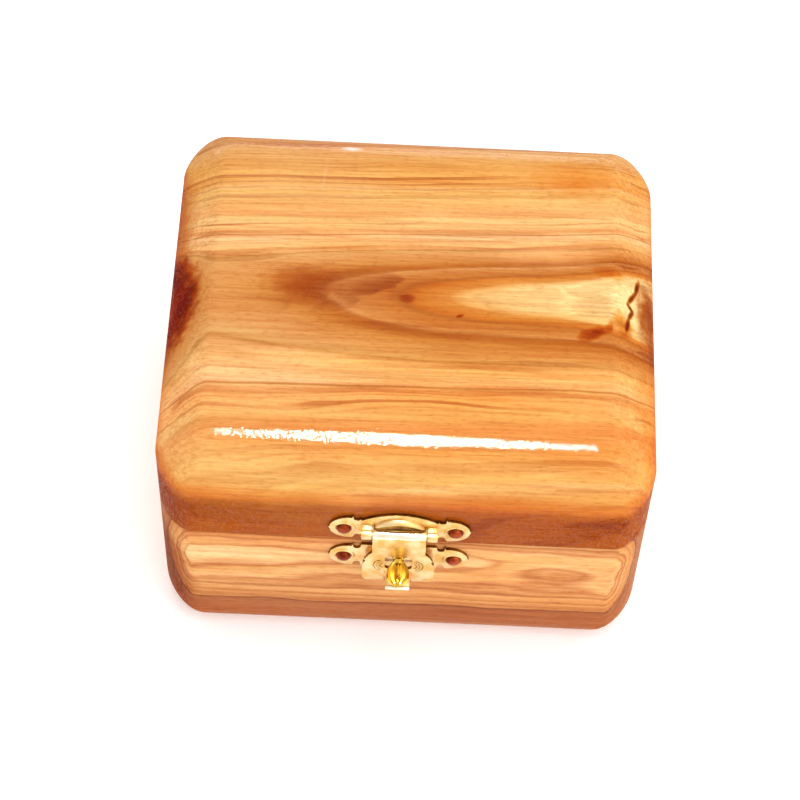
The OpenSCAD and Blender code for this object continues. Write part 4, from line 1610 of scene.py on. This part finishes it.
@dataclass(frozen=True)
class Studio:
    """The pale floor, the soft light and the camera.

    Args:
        elevation: the camera's height angle in degrees.
        azimuth: its turn from straight in front, in degrees.
        roll: how far the picture is turned, in degrees.
        distance: from the box's middle, in millimetres.
        target_z: height of the point that it looks at, in millimetres.
        focal: focal length in picture widths.
        shift: the picture's offset, in picture widths.
    """

    elevation: float = 56.73
    azimuth: float = -0.39
    roll: float = 2.90
    distance: float = 459.8
    target_z: float = 18.9
    focal: float = 2525.2 / 800
    shift: Pair = (-0.0098, -0.0003)
    sensor: float = 36.0

    def build_camera(self) -> None:
        """Places the camera at the photograph's angle."""
        e, a, r = (math.radians(v) for v in (self.elevation, self.azimuth, self.roll))
        back = Vector((math.sin(a) * math.cos(e), -math.cos(a) * math.cos(e), math.sin(e)))
        right = (-back).cross(Vector((0, 0, 1))).normalized()
        up = right.cross(-back)
        across = right * math.cos(r) + up * math.sin(r)
        upright = up * math.cos(r) - right * math.sin(r)
        data = bpy.data.cameras.new("camera")
        data.sensor_width = self.sensor
        data.lens = self.focal * self.sensor
        data.shift_x, data.shift_y = self.shift
        data.clip_start = 0.01
        made = bpy.data.objects.new("camera", data)
        place = (back * self.distance + Vector((0, 0, self.target_z))) * MM
        turn = Matrix((across, upright, back)).transposed().to_4x4()
        made.matrix_world = Matrix.Translation(place) @ turn
        bpy.context.scene.collection.objects.link(made)
        bpy.context.scene.camera = made

    def build_floor(self) -> None:
        """Lays the pale floor."""
        bm = bmesh.new()
        bmesh.ops.create_grid(bm, x_segments=2, y_segments=2, size=1500)
        made = object_from("floor", bm, [PaperFloor().build()])

    def add_light(self, name: str, place: Point, aim: Point, size: Pair, power: float,
                  turn: float = 0.0) -> bpy.types.Object:
        """Adds a soft rectangular light.

        Args:
            name: its name.
            place: its middle, in millimetres.
            aim: the point that it faces, in millimetres.
            size: its width and height, in millimetres.
            power: its power in watts.
            turn: its turn in its own plane, in degrees.

        Returns:
            The light.
        """
        data = bpy.data.lights.new(name, "AREA")
        data.shape = "RECTANGLE"
        data.size, data.size_y = size[0] * MM, size[1] * MM
        data.energy = power
        made = bpy.data.objects.new(name, data)
        facing = (Vector(aim) - Vector(place)).to_track_quat("-Z", "Y").to_matrix().to_4x4()
        turned = facing @ Matrix.Rotation(math.radians(turn), 4, "Z")
        made.matrix_world = Matrix.Translation(Vector(place) * MM) @ turned
        bpy.context.scene.collection.objects.link(made)
        made.visible_camera = False
        return made

    def build(self) -> None:
        """Sets the stage."""
        self.build_camera()
        self.build_floor()
        world = bpy.data.worlds.new("white room")
        world.use_nodes = True
        sky = world.node_tree.nodes["Background"]
        sky.inputs["Color"].default_value = linear("ffffff")
        sky.inputs["Strength"].default_value = 1.0
        bpy.context.scene.world = world
        bpy.context.scene.view_settings.view_transform = "Standard"
        window = self.add_light("window box", (-5, 140, 700), (0, 0, 50), (225, 225), 18.0, -50.0)
        window.visible_diffuse = False
        card = self.add_light("back card", (0, 900, 190), (0, 37, 60), (1500, 380), 8.0)
        card.visible_diffuse = False
        top = self.add_light("top box", (60, 60, 800), (0, 0, 20), (500, 400), 1.7)
        top.visible_glossy = False
        self.add_light("right box", (560, -440, 600), (0, 0, 20), (1000, 700), 3.5)


def fade(middle: str, between: str, at: float = 0.6, edge: str = NO_TINT) -> list[Stop]:
    """Tints of a soft mark: at its middle, part of the way out, and at its edge."""
    return [(0.0, middle), (at, between), (1.0, edge)]


CRACK = [(0.0, "6c300c"), (0.4, "90501c"), (0.7, "d09850"), (1.0, NO_TINT)]
BARK_POCKET = [(0.0, "c0742c"), (0.35, "cc8436"), (0.75, "eec07c"), (1.0, NO_TINT)]
DARK_KNOT = [
    (0.0, "b0683c"), (0.22, "a84410"), (0.45, "b05214"), (0.62, "a0480e"), (0.82, "d8944c"), (1.0, NO_TINT),
]
# Painted highlight: a lighter spot that stands in for a window's reflection on the back edge
PAINTED_HIGHLIGHT_SPOT = fade("c8c8c8", "808080", edge=NO_LIGHT)
PALE_WOOD = fade("5c523a", "3a3426", edge=NO_LIGHT)
FLAME = fade("a0653f", "70472c", 0.5, edge=NO_LIGHT)
PALE_SCAR = fade("484440", "282624", 0.5, edge=NO_LIGHT)


CRACK_BENDS = [(39.1, 7.2), (38.4, 4.2), (36.9, 1.1), (37.8, -0.1), (37.1, -1.9), (36.6, -4.8)]


def crack_marks(points: Outline, height: float, width: float) -> list[Mark]:
    """Lays a crack along a line of points in plan.

    Args:
        points: its bends, in millimetres.
        height: height of its middle, in millimetres.
        width: its half width, in millimetres.

    Returns:
        A mark for each stretch, overlapping the next.
    """
    made = []
    for (x0, y0), (x1, y1) in zip(points, points[1:]):
        turn = math.degrees(math.atan2(y1 - y0, x1 - x0))
        long = math.hypot(x1 - x0, y1 - y0)
        middle = ((x0 + x1) / 2, (y0 + y1) / 2, height)
        made.append(Mark(middle, (long * 0.78, width, 4.0), turn, 0.15, CRACK))
    return made


LID_GRAIN = Grain(
    pith=(0.0, 4.0, 38.0),
    lean=2.35,
    uneven=0.334,
    face_z=52.0,
    fan=(0.45, 0.0),
    slant=(0.0, 0.3),
    sway=0.5,
    wander=0.09,
    heart=[
        (12.0, "eed89c"), (13.5, "e9ca89"), (13.64, "deab65"), (13.72, "cc893f"), (13.9, "c77d30"),
        (14.03, "bd6c26"), (14.12, "aa6428"), (14.25, "bc7433"), (14.6, "c17e41"), (14.84, "cc8e51"),
        (14.95, "b36d31"), (15.1, "b26724"), (15.3, "b9712e"), (15.6, "c68541"), (15.9, "ca8c4c"),
        (16.3, "cf9355"), (16.8, "d19d60"), (16.95, "ce9b5a"), (17.07, "c88f4e"), (17.2, "e1ac6d"),
        (17.6, "e9b775"), (18.3, "e6af73"), (18.4, "d7a267"), (18.5, "e7bc80"), (19.4, "eab580"),
        (19.56, "bf8443"), (19.72, "ebbd7f"), (20.0, "e9b476"),
    ],
    outer=[
        (20.0, "e9b476"), (21.0, "e8b373"), (22.4, "e5bc7b"), (24.0, "e4aa6a"), (25.5, "e0aa67"),
        (27.0, "e3b36d"), (29.0, "dfaf64"), (29.5, "e4b676"), (30.5, "d6984e"), (33.0, "dda255"),
        (36.0, "d69c52"), (39.0, "d5a061"), (43.0, "cd995e"), (50.0, "c88a50"),
    ],
    swells=[
        Swell((-41.0, -4.0, 50.0), (27.8, 9.7, 16.0), 3.1),
        Swell((44.2, 3.3, 50.0), (8.0, 22.4, 16.0), -1.1),
    ],
    marks=[
        Mark((-43.0, -0.5, 45.0), (8.8, 11.0, 9.5), 0.0, 0.3, DARK_KNOT),
        Mark((-44.0, 14.0, 45.0), (7.0, 18.0, 9.0), 0.0, 0.2, fade("b9825a", "d8ae8a")),
        Mark((-19.0, 1.4, 52.0), (8.0, 4.2, 6.0), 0.0, 0.4, fade("dcb090", "e8c8ae", 0.5)),
        *crack_marks(CRACK_BENDS, 49.5, 0.52),
        Mark((35.9, -3.8, 50.5), (2.6, 2.8, 4.0), 0.0, 0.5, fade("d08c40", "e8b878")),
        Mark((31.2, -6.6, 52.0), (3.8, 1.3, 3.0), 26.0, 0.9, BARK_POCKET),
        Mark((33.6, 6.3, 51.5), (3.4, 1.4, 3.0), -8.0, 0.3, fade("f0c080", "f8dcb0", 0.7)),
        # Painted highlight on the rounding of the back edge
        Mark((-12.0, 31.6, 51.5), (2.6, 0.9, 3.0), -4.0, 0.3, PAINTED_HIGHLIGHT_SPOT, Blend.LIGHTEN),
        Mark((-16.5, 24.5, 52.0), (0.35, 7.5, 3.0), -4.0, 0.2, PALE_SCAR, Blend.LIGHTEN),
        Mark((-22.0, 21.0, 52.0), (20.0, 12.0, 8.0), 0.0, 0.2, PALE_WOOD, Blend.LIGHTEN),
        Mark((37.6, 27.8, 50.0), (0.35, 2.4, 3.0), -14.0, 0.2, PALE_SCAR, Blend.LIGHTEN),
        Mark((23.0, 9.8, 52.0), (13.0, 3.8, 5.0), 2.0, 0.3, FLAME, Blend.LIGHTEN),
        # Brown on the lid's front-left corner: browner wood, and painted shade where the corner faces away
        # from the light
        Mark((-42.0, -33.0, 38.0), (10.0, 9.0, 10.0), 0.0, 0.3, fade("d0a488", "e4c8b4")),
        Mark((43.0, 0.0, 46.0), (6.0, 10.0, 8.0), 0.0, 0.3, fade("a8703f", "c89468")),
        Mark((41.2, 1.5, 49.0), (3.0, 9.0, 5.0), 0.0, 0.3, fade("c08450", "d8aa7c", 0.5)),
        Mark((8.1, -4.2, 52.0), (0.9, 0.45, 1.0), 20.0, 0.4, BARK_POCKET),
        Mark((-1.0, -1.0, 52.0), (1.6, 1.2, 3.0), 0.0, 0.5, fade("c98f58", "dcae80")),
        Mark((28.0, 26.0, 52.0), (10.0, 6.0, 8.0), 0.0, 0.5, [(0.0, "f6d2a4"), (1.0, NO_TINT)]),
        Mark((10.0, -27.0, 52.0), (60.0, 10.0, 30.0), 0.0, 0.1, fade("f8dcb8", "fbe6cb", 0.5)),
        Mark((14.0, -14.0, 52.0), (36.0, 14.0, 20.0), 0.0, 0.1, fade("fdf4d4", "fef8e2")),
        Mark((44.0, -20.0, 48.0), (7.0, 14.0, 9.0), 0.0, 0.3, fade("f0c898", "f6dcb8")),
    ],
    # Darker towards the bottom of the lid: browner wall wood, and painted shade on the walls
    layers=[(40.5, "bd8349"), (42.2, "c8935c"), (44.0, "eebd8c"), (45.6, "f6d6b4"), (47.0, "ffffff")],
)

BASE_GRAIN = Grain(
    pith=(0.0, -60.0, 23.5),
    lean=0.0,
    uneven=0.0,
    face_z=32.0,
    fan=(1.0, 1.0),
    slant=(0.0, 0.0),
    sway=0.5,
    wander=0.55,
    heart=[
        (22.4, "f8cd96"), (22.9, "f5c78e"), (23.05, "cf9058"), (23.2, "eab878"), (23.6, "f0bd80"),
        (23.8, "c88550"), (24.0, "dda468"), (24.3, "b97444"), (24.5, "e0a86c"), (24.9, "d89a5c"),
        (25.2, "c48250"), (25.4, "d9a064"), (25.9, "c98a54"), (26.3, "cc8e58"), (26.5, "8a5030"),
        (26.75, "a86c46"), (27.4, "b0744c"), (29.0, "ad7048"),
    ],
    outer=[
        (29.0, "ad7048"), (32.0, "b87c50"), (35.0, "cf965c"), (38.0, "dca66a"), (44.0, "d9a065"),
        (50.0, "e0ac70"), (60.0, "dca468"), (75.0, "d0935a"), (90.0, "dba267"), (100.0, "c98a58"),
    ],
    swells=[
        Swell((27.4, -37.3, 22.6), (9.0, 8.0, 3.2), 1.1),
        Swell((-8.0, -37.3, 20.0), (14.0, 8.0, 3.0), 0.7),
    ],
    marks=[
        # Brown on the base's front-left corner: browner wood, and painted shade where the corner faces away
        # from the light
        Mark((-41.0, -34.0, 14.0), (6.5, 9.0, 16.0), 0.0, 0.3, fade("b8885e", "cfa688", 0.5)),
    ],
    # A little darker on the foot: the wood's tone, and painted shade on the base's lowest band
    layers=[(0.0, "fff0e6"), (9.0, "fff0e6"), (10.5, "ffffff"), (32.0, "ffffff")],
)


def main() -> None:
    """Builds the box in order: stage, finishes, wood, hasp and hinges."""
    logging.basicConfig(level=logging.INFO, format="%(name)s: %(message)s")
    sizes = Sizes.read()
    Studio().build()
    bare = Varnish.BARE
    lid_out = OliveWood("olive wood lid, gloss varnished", LID_GRAIN, Varnish.GLOSS).build()
    lid_in = OliveWood("olive wood lid, bare milled", LID_GRAIN, bare).build()
    base_out = OliveWood("olive wood base, gloss varnished", BASE_GRAIN, Varnish.GLOSS).build()
    base_in = OliveWood("olive wood base, bare milled", BASE_GRAIN, bare).build()
    plating = PlatedSheet("stamped steel, bright brass plated", "eccd96", "dcae5e", 0.36, 0.03).build()
    # Rubbed plating, near white, which also paints highlights
    rubbed = PlatedSheet("brass plating, rubbed bright and painted highlight", "fff6e2", "f6e2b8", 0.2, 0.01).build()
    # Tarnish on the sheared edges, and painted shade along them
    sheared = PlatedSheet("sheared steel edge, tarnish and painted shade", "a87a30", "5e3c14", 0.4).build()
    knob_metal = PlatedSheet("pressed brass, bright", "e9c75a", "cf9a2a", 0.14, 0.01).build()
    copper = PlatedSheet("nail steel, copper washed and dulled", "a84824", "6e260f", 0.34, 0.05).build()
    brass = PlatedSheet("rolled brass, brushed", "dcb766", "c9a04c", 0.3, 0.01, 4.0).build()
    blocks = WoodBlocks(sizes)
    settle(blocks.build_base([base_out, base_in]), Body.BASE, "base_block")
    settle(blocks.build_lid([lid_out, lid_in]), Body.LID, "lid_block")
    Hasp(sizes, plating, sheared, rubbed, knob_metal, copper).build()
    Hinges(sizes, brass, knob_metal).build()


if __name__ == "__main__":
    main()
